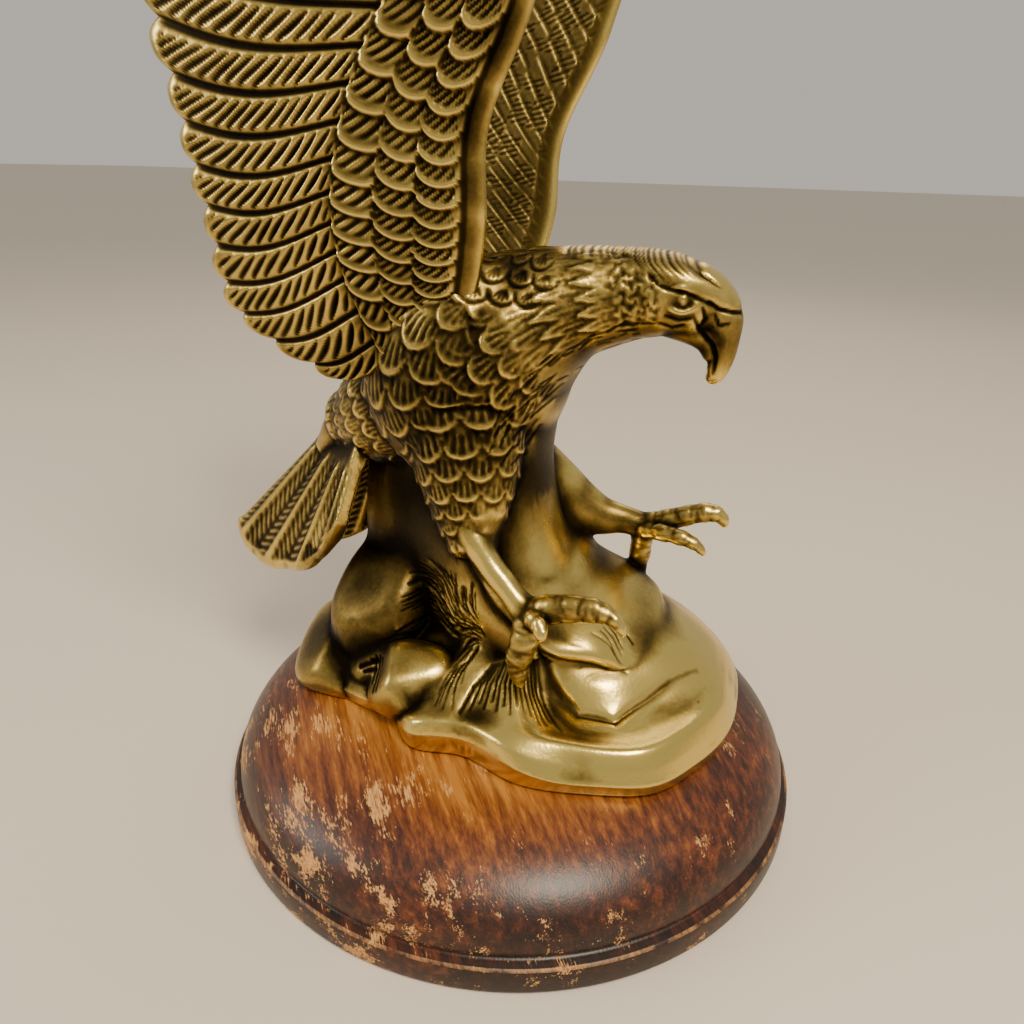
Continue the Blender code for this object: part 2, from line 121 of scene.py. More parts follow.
# %% Helpers for materials
def colour(hex_value):
    """An sRGB hex colour as the linear RGBA that a shader reads."""
    parts = [int(hex_value[i:i + 2], 16) / 255 for i in (1, 3, 5)]
    linear = [p / 12.92 if p <= 0.04045 else ((p + 0.055) / 1.055) ** 2.4 for p in parts]
    return (*linear, 1.0)


def add_node(tree, kind, settings=None, inputs=None):
    """Add a node, set its properties, and give its inputs plain values or other nodes' outputs."""
    node = tree.nodes.new(kind)
    for key, value in (settings or {}).items():
        setattr(node, key, value)
    for key, value in (inputs or {}).items():
        if isinstance(value, bpy.types.NodeSocket):
            tree.links.new(value, node.inputs[key])
        else:
            node.inputs[key].default_value = value
    return node


def set_ramp(node, stops):
    """Colour stops of a ramp, as (place, hex colour)."""
    band = node.color_ramp
    while len(band.elements) < len(stops):
        band.elements.new(1.0)
    for element, (place, hex_value) in zip(band.elements, stops):
        element.position = place
        element.color = colour(hex_value)


def new_material(name):
    """A material with its Principled shader and its node tree."""
    material = bpy.data.materials.new(name)
    material.use_nodes = True
    return material, material.node_tree, material.node_tree.nodes["Principled BSDF"]


# %% [markdown]
# ## Floor and light
# Polished brass shows little colour of its own: it shows what it reflects. One large soft light
# from above and the right gives the bright upper edges of the feathers, a weaker one from the
# left fills the wing, and a dim room keeps the crevices dark. The floor is plain and pale.

# %% Floor, room and lights
floor_mesh = bpy.data.meshes.new("floor")
bm = bmesh.new()
bmesh.ops.create_grid(bm, x_segments=1, y_segments=1, size=12.0)
bm.to_mesh(floor_mesh)
bm.free()
floor = bpy.data.objects.new("floor", floor_mesh)
bpy.context.scene.collection.objects.link(floor)
paint, tree, shader = new_material("pale matt floor")
shader.inputs["Base Color"].default_value = colour("#D9CDBD")
shader.inputs["Roughness"].default_value = 0.7
floor_mesh.materials.append(paint)

world = bpy.data.worlds.new("dim room")
bpy.context.scene.world = world
world.use_nodes = True
world.node_tree.nodes["Background"].inputs["Color"].default_value = colour("#D8D2C8")
world.node_tree.nodes["Background"].inputs["Strength"].default_value = 0.8


def add_light(name, place, aim, size, power, tint="#FFFFFF"):
    """A square soft light, with its place and aim in metres."""
    data = bpy.data.lights.new(name, "AREA")
    data.size = size
    data.energy = power
    data.color = colour(tint)[:3]
    light = bpy.data.objects.new(name, data)
    bpy.context.scene.collection.objects.link(light)
    light.location = place
    light.rotation_euler = (Vector(aim) - Vector(place)).to_track_quat("-Z", "Y").to_euler()


add_light("key from above right", (0.35, -0.35, 0.75), (0, 0, 0.1), 0.3, 8.0, "#FFF1DA")
add_light("fill from the left", (-0.75, -0.45, 0.45), (0, 0, 0.12), 0.4, 3.0, "#FFF8F0")
add_light("rim from behind", (-0.1, 0.8, 0.7), (0, 0, 0.12), 0.5, 1.5, "#FFE9C4")
print("stage: floor, room and three soft lights")


# %% [markdown]
# ## Two ways to make a form
# A wing, the tail or the rock is a closed shell: a grid from create_grid whose points are moved
# by a function of their place (u round it, v from end to end), and whose sides then meet. A neck,
# a toe or a thigh is a limb: a shell round a smooth line through a few stations. Carving is added
# in the same step, as a rise above the plain form, so each feather lies where it has room.

# %% Smooth lines, shells and limbs
def smooth(stations, t):
    """Catmull-Rom values through evenly spaced stations, for t from 0 to 1."""
    p = np.asarray(stations, dtype=float)
    if p.ndim == 1:
        p = p[:, None]
    last = len(p) - 1
    x = np.clip(np.asarray(t, dtype=float), 0.0, 1.0) * last
    i = np.minimum(x.astype(int), last - 1)
    f = (x - i)[:, None]
    a = p[np.maximum(i - 1, 0)]
    b = p[i]
    c = p[i + 1]
    d = p[np.minimum(i + 2, last)]
    return b + 0.5 * f * (c - a + f * (2 * a - 5 * b + 4 * c - d + f * (3 * (b - c) + d - a)))


def unit(v):
    """Vectors of length one."""
    return v / np.maximum(np.linalg.norm(v, axis=-1, keepdims=True), 1e-9)


def step(x, low, high):
    """0 below low, 1 above high, and a smooth rise between."""
    f = np.clip((np.asarray(x, dtype=float) - low) / (high - low), 0.0, 1.0)
    return f * f * (3 - 2 * f)


def chance(*keys):
    """A repeatable random number from 0 to 1 for whole-number keys."""
    total = sum(key * weight for key, weight in zip(keys, (12.9898, 78.233, 37.719)))
    return (np.sin(total + 1.7) * 43758.5453) % 1.0


def add_shell(bm, around, rings, place):
    """Add a closed shell: a grid whose points are moved by place(u, v), rolled up along u and
    drawn together to a point at both ends of v. A grid of this size is made at once, where a
    UV sphere would take many seconds."""
    made = bmesh.ops.create_grid(bm, x_segments=around, y_segments=rings, size=0.5)
    verts = made["verts"]
    co = np.array([v.co for v in verts])
    u = np.round((co[:, 0] + 0.5) * around) % around / around
    v = np.round((co[:, 1] + 0.5) * rings) / rings
    for vert, p in zip(verts, place(u, v)):
        vert.co = p
    bmesh.ops.remove_doubles(bm, verts=verts, dist=0.0001)


END_BULGE = 0.6


def add_limb(bm, stations, around=24, rings=30, cap=0.12, relief=None, side=(0, 1, 0)):
    """Add a limb through stations of (x, y, z, side radius, other radius), with round ends."""
    table = np.asarray(stations, dtype=float)
    side = np.array(side, dtype=float)
    length = np.linalg.norm(np.diff(table[:, :3], axis=0), axis=1).sum()

    def place(u, v):
        t = np.clip((v - cap) / (1 - 2 * cap), 0.0, 1.0)
        row = smooth(table, t)
        tangent = unit(smooth(table, t + 0.01)[:, :3] - smooth(table, t - 0.01)[:, :3])
        across = unit(side - tangent * (tangent @ side)[:, None])
        up = np.cross(across, tangent)
        turn = np.clip(np.minimum(v, 1 - v) / cap, 0, 1) * math.pi / 2
        r_side = row[:, 3] * np.sin(turn)
        r_up = row[:, 4] * np.sin(turn)
        push = np.where(v < 0.5, -1.0, 1.0) * np.cos(turn) * END_BULGE * np.minimum(row[:, 3], row[:, 4])
        if relief is not None:
            rise = relief(u, t, row, length) * np.sin(turn)
            r_side = r_side + rise
            r_up = r_up + rise
        angle = u * 2 * math.pi
        return (row[:, :3] + tangent * push[:, None] + across * (r_side * np.cos(angle))[:, None]
                + up * (r_up * np.sin(angle))[:, None])

    add_shell(bm, around, rings, place)


# %% [markdown]
# ## How the feathers were carved
# The maker cut U-shaped feathers that lie over each other like roof tiles: each has a smooth
# raised rim, a sharp drop past it, and a fan of short cuts inside. One function finds the feather
# that shows at a point, and another gives the height of its carving. No two are quite alike.

# %% Overlapping feathers
def feather_at(across, down, pointed=0.0):
    """The feather that shows at a point, with one feather per unit each way. Gives the place
    across it (-1 to 1) and down it, the distance inside its rim, and two numbers of its own."""
    row = np.floor(down)
    found = []
    for back in (0, 1):
        j = row - back
        shifted = across + 0.5 * (j % 2)
        i = np.floor(shifted)
        a = 2 * (shifted - i) - 1
        b = down - j
        round_tip = np.sqrt(np.clip(1 - a * a, 0, 1))
        sharp_tip = np.clip(1 - np.abs(a), 0, 1)
        tip = 1.0 + (0.72 + 0.16 * chance(i, j)) * (round_tip * (1 - pointed) + sharp_tip * pointed)
        found.append((a, b, tip, i, j))
    over = found[1][1] < found[1][2]
    return [np.where(over, upper, lower) for upper, lower in zip(found[1], found[0])]


def feather_rise(a, b, tip, i, j, depth, cuts=5.0, lean=0.0, cut_share=0.45, rim=0.09):
    """Height of a carved feather over the plain form, in millimetres."""
    inside = tip - b
    rise = depth * (0.25 + 0.75 * b / 1.8) - 0.28 * depth * a * a
    rise = rise + 0.22 * depth * np.exp(-(((inside - rim) / (0.9 * rim)) ** 2))
    rise = rise - 0.35 * depth * np.exp(-((inside / 0.05) ** 2))
    fan = a * cuts / 2 / (0.55 + 0.45 * b) + lean * b + chance(i, j, 3)
    cut = (0.5 + 0.5 * np.cos(2 * math.pi * fan)) ** 1.6
    window = step(inside, 2.1 * rim, 2.1 * rim + 0.2) * step(1.12 - inside, 0.0, 0.3)
    window = window * step(1 - np.abs(a), 0.05, 0.35)
    strength = cut_share * depth * (0.7 + 0.6 * chance(i, j, 5))
    return rise - strength * cut * window


def plumage(width, pitch, depth, cuts=5.0):
    """Carving for a limb covered in feathers, which point to its far end."""
    def relief(u, t, row, length):
        girth = math.pi * (row[:, 3].mean() + row[:, 4].mean())
        count = max(3, round(girth / width))
        found = feather_at(u * count, t * length / pitch)
        return feather_rise(*found, depth, cuts) - 0.45 * depth
    return relief


# %% [markdown]
# ## Wings
# Each wing is one thin shell, thickest along its rolled front edge. From there back it has three
# columns of small covert feathers, then 18 long flight feathers side by side. A flight feather is
# a round bar with a narrow dark gap to the next, crossed by slanting leaf-shaped cuts. The inner
# face is plainer: thin raised quills and shallow feathers. The photograph cuts the wings off at
# about four fifths of their height, so the tops simply carry the same pattern on.

# %% Sizes of the wings
FEATHERS = 18
COVERT_SHARE = 0.4
WING_THICKNESS = 5.0
GAP_DEPTH = 1.5
BARB_PITCH = 3.1
BARB_DEPTH = 0.95
QUILL_PITCH = 5.2
SCALLOP = 4.5
LEADING_EDGE = [(-12, 124), (-5, 136), (-1, 152), (0, 171), (10, 194), (13, 220), (-5, 256)]
COVERT_EDGE = [(-26, 121), (-33, 140), (-33, 158), (-26, 178), (-14, 197), (-8, 222), (-14, 260)]
TRAILING_EDGE = [(-38, 116), (-62, 130), (-66, 154), (-70, 180), (-74, 212), (-67, 244), (-40, 270)]
WING_OFFSET = [15, 19, 22.5, 24, 25.5, 29, 35]
# Covert columns from the front edge back: centre, half width, feathers to each flight feather
COVERT_COLUMNS = [(0.30, 0.15, 1.5), (0.54, 0.19, 1.2), (0.83, 0.25, 1.0)]
WING_AROUND = 296
WING_RINGS = FEATHERS * 18 + 6
print("wing:", FEATHERS, "flight feathers,", WING_AROUND, "by", WING_RINGS, "steps")


# %% Carving of a wing's two faces
def covert_rise(near, span):
    """Height of the covert feathers, and where they lie; near runs from the front edge back."""
    rise = np.zeros_like(near)
    covered = np.zeros(len(near), dtype=bool)
    for column, (centre, half, count) in enumerate(COVERT_COLUMNS):
        a = (near - centre) / half
        down = -span * count - 0.05 * a + 0.5 * column
        j = np.floor(down)
        b = down - j
        tip = 1.0 + 0.72 * np.sqrt(np.clip(1 - a * a, 0, 1))
        over = b + 1 < tip
        b = np.where(over, b + 1, b)
        j = np.where(over, j - 1, j)
        bulge = 1.0 - 0.16 * (2 * ((down - 0.35) % 1.0) - 1) ** 2
        here = (a > -1.02) & (a < bulge) & ~covered
        height = feather_rise(a, b, tip, j, j * 0 + column, 1.3, 4.5, -2.0, 0.55, 0.14)
        rise = np.where(here, height + 0.5 - 0.25 * column, rise)
        covered = covered | here
    return rise, covered


def flight_rise(f, k, blade, reach):
    """Height of a flight feather's outer face: f runs up across it, blade out to its tip."""
    ridge = np.abs(2 * f - 1)
    bar = -GAP_DEPTH * ridge ** 9 - 0.35 * ridge ** 2 + 0.1 * np.exp(-(((f - 0.86) / 0.08) ** 2))
    along = blade * reach
    slant = (0.45 + 0.75 * blade) * 8.5
    pitch = BARB_PITCH * (0.92 + 0.2 * chance(k))
    wobble = 0.09 * np.sin(along * 0.45 + 6 * chance(k, 4))
    beat = (along + slant * (f - 0.5)) / pitch + chance(k, 2) + wobble
    lens = np.clip(np.sin(math.pi * np.clip((f - 0.1) / 0.76, 0, 1)), 0, 1) ** 0.6
    lens = lens * step(along, 0.5, 3.0) * step(reach - along, 1.5, 4.0)
    away = np.abs(2 * (beat % 1.0) - 1) / np.maximum(0.9 * lens, 0.05)
    wear = 0.75 + 0.5 * chance(k, np.floor(beat))
    return bar - BARB_DEPTH * wear * lens * (1 - step(away, 0.0, 1.0))


def inner_rise(f, span, near, blade, chord):
    """Height of the plainer inner face: thin slanting quills, then shallow feathers."""
    beat = (span * 8.5 - 0.9 * near * chord) / QUILL_PITCH
    row = np.floor(near * 3 + 0.4 * chance(np.floor(beat)))
    part = (near * 3 + 0.4 * chance(np.floor(beat))) % 1.0
    quill = 0.42 * np.exp(-((((beat + 0.3 * chance(row)) % 1.0 - 0.5) * QUILL_PITCH / 0.4) ** 2))
    quill = quill * np.clip(np.sin(math.pi * part), 0, 1) ** 0.5
    patch = chance(np.floor(span * 2.6), np.floor(near * 5))
    scratch = (span * 7.6 + near * chord * (0.2 + 0.5 * patch)) / 1.5 + patch
    grain = -0.16 * (0.5 + 0.5 * np.cos(2 * math.pi * scratch)) ** 2 * step(patch, 0.35, 0.6)
    shallow = -0.8 * np.abs(2 * f - 1) ** 4 + 0.3 * np.exp(-(((f - 0.5) / 0.06) ** 2))
    barbs = 0.16 * np.cos(2 * math.pi * (blade * 40 + np.abs(f - 0.5) * 9) / 3.0)
    return np.where(blade > 0, shallow + barbs * step(blade, 0.02, 0.1), quill + grain)


# %% Wing shells
def wing_place(sign):
    """Placing function of one wing: its outer face first, then the inner one."""
    def place(u, v):
        ring = np.round(v * WING_RINGS)
        s = np.clip((ring - 3) / (WING_RINGS - 6), 0.0, 1.0)
        close = np.sin(math.pi / 2 * np.clip(np.minimum(ring, WING_RINGS - ring) / 3, 0, 1))
        c = np.where(u <= 0.5, 2 * u, 2 - 2 * u)
        c = 0.5 + (c - 0.5) * close
        outer = u <= 0.5
        lead, mid, trail = (smooth(edge, s) for edge in (LEADING_EDGE, COVERT_EDGE, TRAILING_EDGE))
        offset = smooth(WING_OFFSET, s)[:, 0]
        span = s * FEATHERS
        k = np.minimum(np.floor(span), FEATHERS - 1)
        f = span - k
        blade = np.clip((c - COVERT_SHARE) / (1 - COVERT_SHARE), 0.0, 1.0)
        near = np.clip(c / COVERT_SHARE, 0.0, 1.2)
        flat = lead + (mid - lead) * np.minimum(near, 1)[:, None] + (trail - mid) * blade[:, None]
        reach = SCALLOP * (0.7 + 0.9 * np.clip(2 * s - 0.9, 0, 1)) * (0.85 + 0.3 * chance(k, 7))
        scallop = reach * (1 - np.abs(2 * f - 1) ** 2.4) * blade ** 2
        flat = flat + unit(trail - mid) * scallop[:, None]
        flat[:, 1] -= (2.0 + 1.2 * np.sin(math.pi * s)) * np.sin(math.pi * blade ** 1.15)
        body = np.sqrt(np.clip(c / 0.07, 0, 1)) * (1 - 0.4 * c) * np.sqrt(np.clip((1 - c) / 0.03, 0, 1))
        chord = np.linalg.norm(mid - lead, axis=1)
        length = np.linalg.norm(trail - mid, axis=1)
        coverts, covered = covert_rise(near + blade * 1.5, span)
        covered = covered & (near > 0.13)
        lines = -0.15 * np.exp(-(((near - 0.15) % 0.055 - 0.0275) / 0.012) ** 2)
        edge_lines = lines * step(near, 0.1, 0.13) * step(0.26 - near, 0.0, 0.03)
        flight = flight_rise(f, k, blade, length) * step(blade, 0, 0.02)
        outer_rise = np.where(covered, coverts - 0.4, flight)
        outer_rise = np.where((blade <= 0) & ~covered, edge_lines, outer_rise)
        inner = inner_rise(f, span, near, blade, chord) * step(near, 0.1, 0.2)
        rise = np.where(outer, outer_rise, inner) * np.clip((1 - c) / 0.04, 0, 1)
        half = 0.5 * WING_THICKNESS * body
        half = np.maximum(half + rise, np.minimum(0.9, 2.2 * body)) * close
        y = offset + 7.0 * c + 2.5 * np.sin(math.pi * c) + np.where(outer, 1.0, -1.0) * half
        return np.stack([flat[:, 0], sign * y, flat[:, 1]], axis=1)
    return place


def mesh_from(bm, name):
    """Finish a bmesh of drawn millimetres as an object in the frame, its faces pointing out."""
    drawn = np.array([v.co for v in bm.verts])
    for vert, p in zip(bm.verts, to_frame(drawn)):
        vert.co = p
    bmesh.ops.remove_doubles(bm, verts=bm.verts, dist=0.00001)
    bmesh.ops.recalc_face_normals(bm, faces=bm.faces)
    mesh = bpy.data.meshes.new(name)
    bm.to_mesh(mesh)
    bm.free()
    mesh.shade_smooth()
    obj = bpy.data.objects.new(name, mesh)
    bpy.context.scene.collection.objects.link(obj)
    return obj


def make_wing(name, sign):
    """One wing as a closed shell, whose slanting cuts are evened out a little."""
    bm = bmesh.new()
    add_shell(bm, WING_AROUND, WING_RINGS, wing_place(sign))
    bmesh.ops.smooth_vert(bm, verts=bm.verts, factor=0.35,
                          use_axis_x=True, use_axis_y=True, use_axis_z=True)
    return mesh_from(bm, name)


wing_right = make_wing("brass_wing_right", -1)
wing_left = make_wing("brass_wing_left", 1)
print("each wing:", len(wing_right.data.polygons), "faces")

# %% [markdown]
# ## Trunk, neck and head
# One limb runs from the rump to the face. Its sides carry rounded feathers behind and pointed
# hackles on the neck, the throat is smooth, and the head has short curled feathers behind the
# eye. The flanks are two more limbs whose feathers point down to the thighs.

# %% Carving of the trunk
TRUNK = [(-51, 0, 98, 9, 8), (-42, 0, 101, 15, 14), (-31, 0, 107, 19, 19), (-20, 0, 114, 23, 23),
         (-9, 0, 121, 25, 25), (1, 0, 128.5, 22, 19), (11, 0, 134, 16, 13.8), (20, 0, 136.5, 12.5, 11.6),
         (28, 0, 138, 10.5, 10.2), (35, 0, 138.3, 9.6, 9.3), (41, 0, 137, 7.6, 8)]


def trunk_relief(u, t, row, length):
    """Feathers of the trunk: round on the body, pointed on the neck, none on the throat."""
    below = np.abs((u - 0.25 + 0.5) % 1.0 - 0.5)
    rounded = feather_at(u * 18, (1 - t) * length / 5.0)
    hackles = feather_at(u * 22, (1 - t) * length / 9.4, 0.7)
    round_part = feather_rise(*rounded, 1.15, 5.0) - 0.5
    neck_part = feather_rise(*hackles, 0.95, 3.0, 0.5, 0.4) - 0.4
    curls = 0.4 * np.sin(u * 130 + 3 * np.sin(t * 160)) * np.sin(t * 190 + 2 * np.sin(u * 50))
    neck = step(t, 0.5, 0.54)
    rise = round_part * (1 - neck) + neck_part * neck
    cheek = step(t, 0.74, 0.77)
    rise = rise * (1 - cheek) + curls * cheek
    face = step(t, 0.86, 0.9)
    crown = step(np.abs((u - 0.75 + 0.5) % 1.0 - 0.5), 0.06, 0.09)
    throat = step(below, 0.07 + 0.05 * neck, 0.12 + 0.06 * neck)
    return rise * (1 - face) * throat * (1 - (1 - crown) * step(t, 0.58, 0.62))


# %% Head, beak and flanks
UPPER_LID = [(35.3, 8.0, 139.2), (36.5, 8.5, 140.4), (38.6, 8.4, 140.8), (41.0, 7.3, 139.4)]
LOWER_LID = [(35.2, 8.2, 138.6), (36.2, 8.7, 136.6), (38.6, 8.5, 135.7), (41.0, 7.5, 136.7),
             (41.9, 6.9, 138.2)]


def add_head(bm):
    """Beak hooked down over the lower jaw, heavy brows and round eyes."""
    beak = [(38, 0, 136.5, 6.5, 6.5), (43, 0, 135.6, 5.6, 6.2), (46, 0, 133.3, 4.5, 5.3),
            (47.3, 0, 129, 3.4, 3.6), (47.3, 0, 125, 2.7, 2.9), (46.6, 0, 121.6, 2.1, 2.3),
            (45.6, 0, 120, 1.4, 1.5)]
    add_limb(bm, beak, 40, 60, cap=0.1)
    cap = [(24, 0, 143.0, 8.4, 4.6), (31, 0, 143.2, 9.0, 4.6), (37, 0, 142.0, 8.9, 5.0),
           (42, 0, 140.2, 7.6, 4.7), (46, 0, 138.0, 5.4, 3.9), (48.2, 0, 136.4, 3.4, 2.6)]
    add_limb(bm, cap, 80, 80)
    jaw = [(35, 0, 133, 5.2, 4.3), (41, 0, 131.6, 4.6, 4.3), (44.3, 0, 129.2, 3.6, 3.7),
           (45.8, 0, 126, 2.6, 2.8)]
    add_limb(bm, jaw, 40, 40)
    for sign in (-1, 1):
        add_limb(bm, [(37.8, 6.9 * sign, 138.5, 2.1, 2.1), (38.8, 7.0 * sign, 138.5, 2.1, 2.1)], cap=0.4)
        for lid in (UPPER_LID, LOWER_LID):
            add_limb(bm, [(x, y * sign, z, 0.75, 0.7) for x, y, z in lid],
                     12, 24, cap=0.15)


def add_body(bm):
    """Trunk and the two flanks with their feathers."""
    add_limb(bm, TRUNK, 300, 280, cap=0.06, relief=trunk_relief)
    for sign in (-1, 1):
        flank = [(-3, 12 * sign, 140, 6, 6), (-6, 12 * sign, 136, 9.5, 9.5),
                 (-12, 13 * sign, 128, 12, 19.5), (-15, 12.5 * sign, 114, 13, 22),
                 (-12, 13 * sign, 103, 11.5, 17), (-8, 14 * sign, 95, 9, 11)]
        add_limb(bm, flank, 240, 190, cap=0.06, relief=plumage(6.2, 4.7, 1.0, cuts=6.0))
    add_limb(bm, [(-38, 0, 104, 12, 12), (-49, 0, 98, 9, 8), (-58, 0, 89, 5, 4)], 60, 60)


print("trunk:", len(TRUNK), "stations")

# %% [markdown]
# ## Column, legs and feet
# Under the belly the casting is a smooth web that carries the bird. The right leg reaches down to
# the rock and the left one forward. Toes are knuckled and wrinkled, with blunt claws.

# %% Legs and feet
def column_place(u, v):
    """Smooth column under the belly: narrow at the back, as wide as the two legs in front."""
    # Height, rear and front limits, near and far limits
    levels = [(118, -30, 4, -20, 20), (106, -38, 8, -21, 21), (95, -43, 7.5, -22, 21),
              (85, -44.5, 9, -23, 20), (75, -45.5, 12, -24, 20), (65, -46, 17, -24.5, 21),
              (57, -49, 25, -25, 23), (50, -53, 35, -25, 26), (44, -55, 42, -26, 28),
              (38, -54, 44, -26, 28)]
    row = smooth(levels, np.clip((v - 0.04) / 0.92, 0, 1))
    turn = np.clip(np.minimum(v, 1 - v) / 0.04, 0, 1)
    angle = u * 2 * math.pi
    x = np.sign(np.cos(angle)) * np.abs(np.cos(angle)) ** 0.85
    y = np.sign(np.sin(angle)) * np.abs(np.sin(angle)) ** 0.85
    wider = 0.74 + 0.26 * np.sin(math.pi / 2 * np.clip(x * 1.6, -1, 1))
    side = np.where(y < 0, -row[:, 3], row[:, 4]) * wider
    middle = (row[:, 1] + row[:, 2]) / 2
    reach = (row[:, 2] - row[:, 1]) / 2 * x * turn
    return np.stack([middle + reach, side * y * turn, row[:, 0]], axis=1)


def knuckles(count, depth=0.24):
    """Carving of a toe: swollen joints with fine wrinkles between them."""
    def relief(u, t, row, length):
        swell = np.abs(np.sin(math.pi * (t * count + 0.15))) ** 1.5
        wrinkle = 0.09 * np.sin(t * length * 4.6 + 1.5 * np.sin(u * 12.6)) * (1 - 0.5 * swell)
        lumps = 0.13 * np.sin(u * 18.8 + 5 * np.sin(t * length * 0.9)) * np.sin(t * length * 1.3)
        return depth * (swell - 0.6) + wrinkle + lumps
    return relief


THIGH_RIGHT = [(-11, -12.5, 108, 13, 17), (-9, -14.5, 98, 11.5, 14.5), (-7, -17, 89, 9.5, 11.5),
               (-5.5, -19.5, 82, 7, 8.5), (-4, -22, 77, 4.5, 5.5)]
SHANK_RIGHT = [(-8, -20.5, 88, 3, 3), (-4, -23, 81.5, 3.6, 3.6), (2, -24.2, 74.5, 3.4, 3.5),
               (8, -25.6, 69, 3.3, 3.4), (13, -26.5, 64.5, 3.7, 3.8)]
THIGH_LEFT = [(-13, 11, 104, 13, 14), (-8, 14, 95, 10, 10.5), (-3, 16, 88, 7.5, 8), (4, 18, 81.5, 5.5, 6)]
SHANK_LEFT = [(-2, 15, 83, 9, 12), (8, 17.5, 76.6, 7.2, 9.8), (17, 19, 73.6, 5, 6.2),
              (24, 20, 73, 3.7, 4.1), (30, 20.5, 72, 3.6, 3.7)]
WEB = [(-5, -8, 92, 17, 6), (-1, -6, 81, 18.5, 5.5), (3, -4, 73, 20, 5.5), (7.5, -3.5, 67, 21.5, 5.5),
       (13, -3, 62.5, 23, 5.5), (19, -1, 58.5, 23.5, 5.5), (28, 2, 54.5, 21, 5), (38, 5, 49, 17, 4)]
TOES_RIGHT = [
    [(13, -26.5, 64.5, 3.7, 3.7), (18, -27, 67.2, 3.4, 3.8), (24, -27, 69, 3.0, 3.4),
     (29.5, -27, 69.6, 2.7, 3.0), (33, -27.3, 69, 1.9, 2.1), (35.2, -27.7, 67.8, 1.4, 1.5),
     (36.7, -28, 65.6, 0.9, 0.9)],
    [(13, -27, 64, 3.6, 3.6), (13, -29, 58.5, 3.5, 3.5), (12, -30, 53, 3, 3.1),
     (12.8, -30.3, 47, 1.6, 1.7)],
    [(13, -27, 64.5, 3, 3), (16, -30, 65.6, 2.5, 2.6), (18, -32.5, 65.2, 1.9, 2),
     (19, -34, 63.6, 1.3, 1.3)],
]
TOES_LEFT = [
    [(30, 20.5, 72, 3.4, 3.5), (36, 21, 74.4, 3.0, 3.2), (42, 21.5, 77, 2.7, 2.8),
     (47, 22, 78.4, 2.6, 2.7), (50.3, 22, 77.8, 1.8, 2.0), (51.8, 22, 75.6, 1.1, 1.2)],
    [(30, 19.5, 71.5, 3, 3), (36, 17, 72.4, 2.5, 2.4), (42, 15.5, 72.4, 2.2, 2.1),
     (46, 15, 71, 1.5, 1.5), (47.8, 15, 69.2, 0.9, 0.9)],
    [(30, 20.5, 71, 3.2, 3.3), (29.5, 21.5, 63, 2.9, 3), (29, 22, 56, 2.5, 2.7), (31, 22, 48, 2, 2.2)],
]


def add_legs(bm):
    """Column, thighs, shanks and toes."""
    add_shell(bm, 160, 140, column_place)
    add_limb(bm, THIGH_RIGHT, 150, 130, relief=plumage(6.5, 5.0, 1.0))
    add_limb(bm, THIGH_LEFT, 110, 100, relief=plumage(6.5, 5.0, 0.8))
    add_limb(bm, SHANK_RIGHT, 30, 40)
    add_limb(bm, SHANK_LEFT, 60, 60)
    add_limb(bm, WEB, 120, 120, cap=0.06, side=(0.28, 0.96, 0))
    for toes in (TOES_RIGHT, TOES_LEFT):
        for toe in toes:
            add_limb(bm, toe, 30, 70, cap=0.1, relief=knuckles(len(toe)))


print("feet:", len(TOES_RIGHT), "and", len(TOES_LEFT), "toes")

# %% [markdown]
# ## Tail
# The tail is a fan folded like a roof, its middle feathers the longest. Each feather has a strong
# raised shaft with barbs slanting off it on both sides, and the fan ends in a thick smooth rim.

# %% Tail shell
TAIL_FEATHERS = 8
TAIL_THICKNESS = 4.2


def tail_rise(f, c, reach):
    """Height of a tail feather's face."""
    gap = -0.9 * np.abs(2 * f - 1) ** 5
    shaft = 0.7 * np.exp(-(((f - 0.5) / 0.1) ** 2))
    beat = (c * reach - np.abs(f - 0.5) * 14) / 2.9
    barbs = -0.5 * (0.5 + 0.5 * np.cos(2 * math.pi * beat)) ** 1.3 * step(np.abs(f - 0.5), 0.08, 0.16)
    barbs = barbs * step(0.5 - np.abs(f - 0.5), 0.02, 0.1)
    return (gap + shaft + barbs) * step(c, 0.18, 0.3) * step(0.96 - c, 0.0, 0.05)


def tail_place(u, v):
    """Placing function of the tail: one face first, then the other."""
    s = np.clip((v - 0.02) / 0.96, 0.0, 1.0) * 2 - 1
    c = np.where(u <= 0.5, 2 * u, 2 - 2 * u)
    face = np.where(u <= 0.5, 1.0, -1.0)
    pole = (v < 1e-6) | (v > 1 - 1e-6)
    c = np.where(pole, 0.5, c)
    q = np.abs(s)
    root = np.stack([-50 + 10 * q, 12 * s, 101 - 7 * q], axis=1)
    tips = smooth([(-94, 0, 57), (-84, 5.5, 50.8), (-68, 11, 52.5), (-54, 15.5, 60), (-44, 18, 74)], q)
    tips = np.stack([tips[:, 0], tips[:, 1] * np.sign(s), tips[:, 2]], axis=1)
    f = ((s + 1) / 2 * TAIL_FEATHERS) % 1.0
    ridge = np.abs(2 * f - 1)
    along = unit(tips - root)
    reach = np.linalg.norm(tips - root, axis=1)
    point = root + (tips - root) * c[:, None] + along * (1.2 * (1 - ridge ** 2.4) * c ** 2)[:, None]
    even = np.ones_like(s)
    spread = unit(np.stack([28 * even, 20 * np.where(s < 0, -1.0, 1.0), 14 * even], 1))
    normal = unit(np.cross(along, spread)) * np.where(s < 0, 1.0, -1.0)[:, None]
    body = np.sqrt(np.clip((1 - c) / 0.05, 0, 1))
    half = 0.5 * TAIL_THICKNESS * body + tail_rise(f, c, reach) * body
    half = np.where(pole, 0.0, np.maximum(half, 0.2))
    return point + normal * (face * half)[:, None]


# %% [markdown]
# ## Rock
# The rock is smooth and polished. A low wall and a flat ledge run round its front, and on the
# bird's left a plain dome rises to the column. Behind the right foot lie rounded boulders.

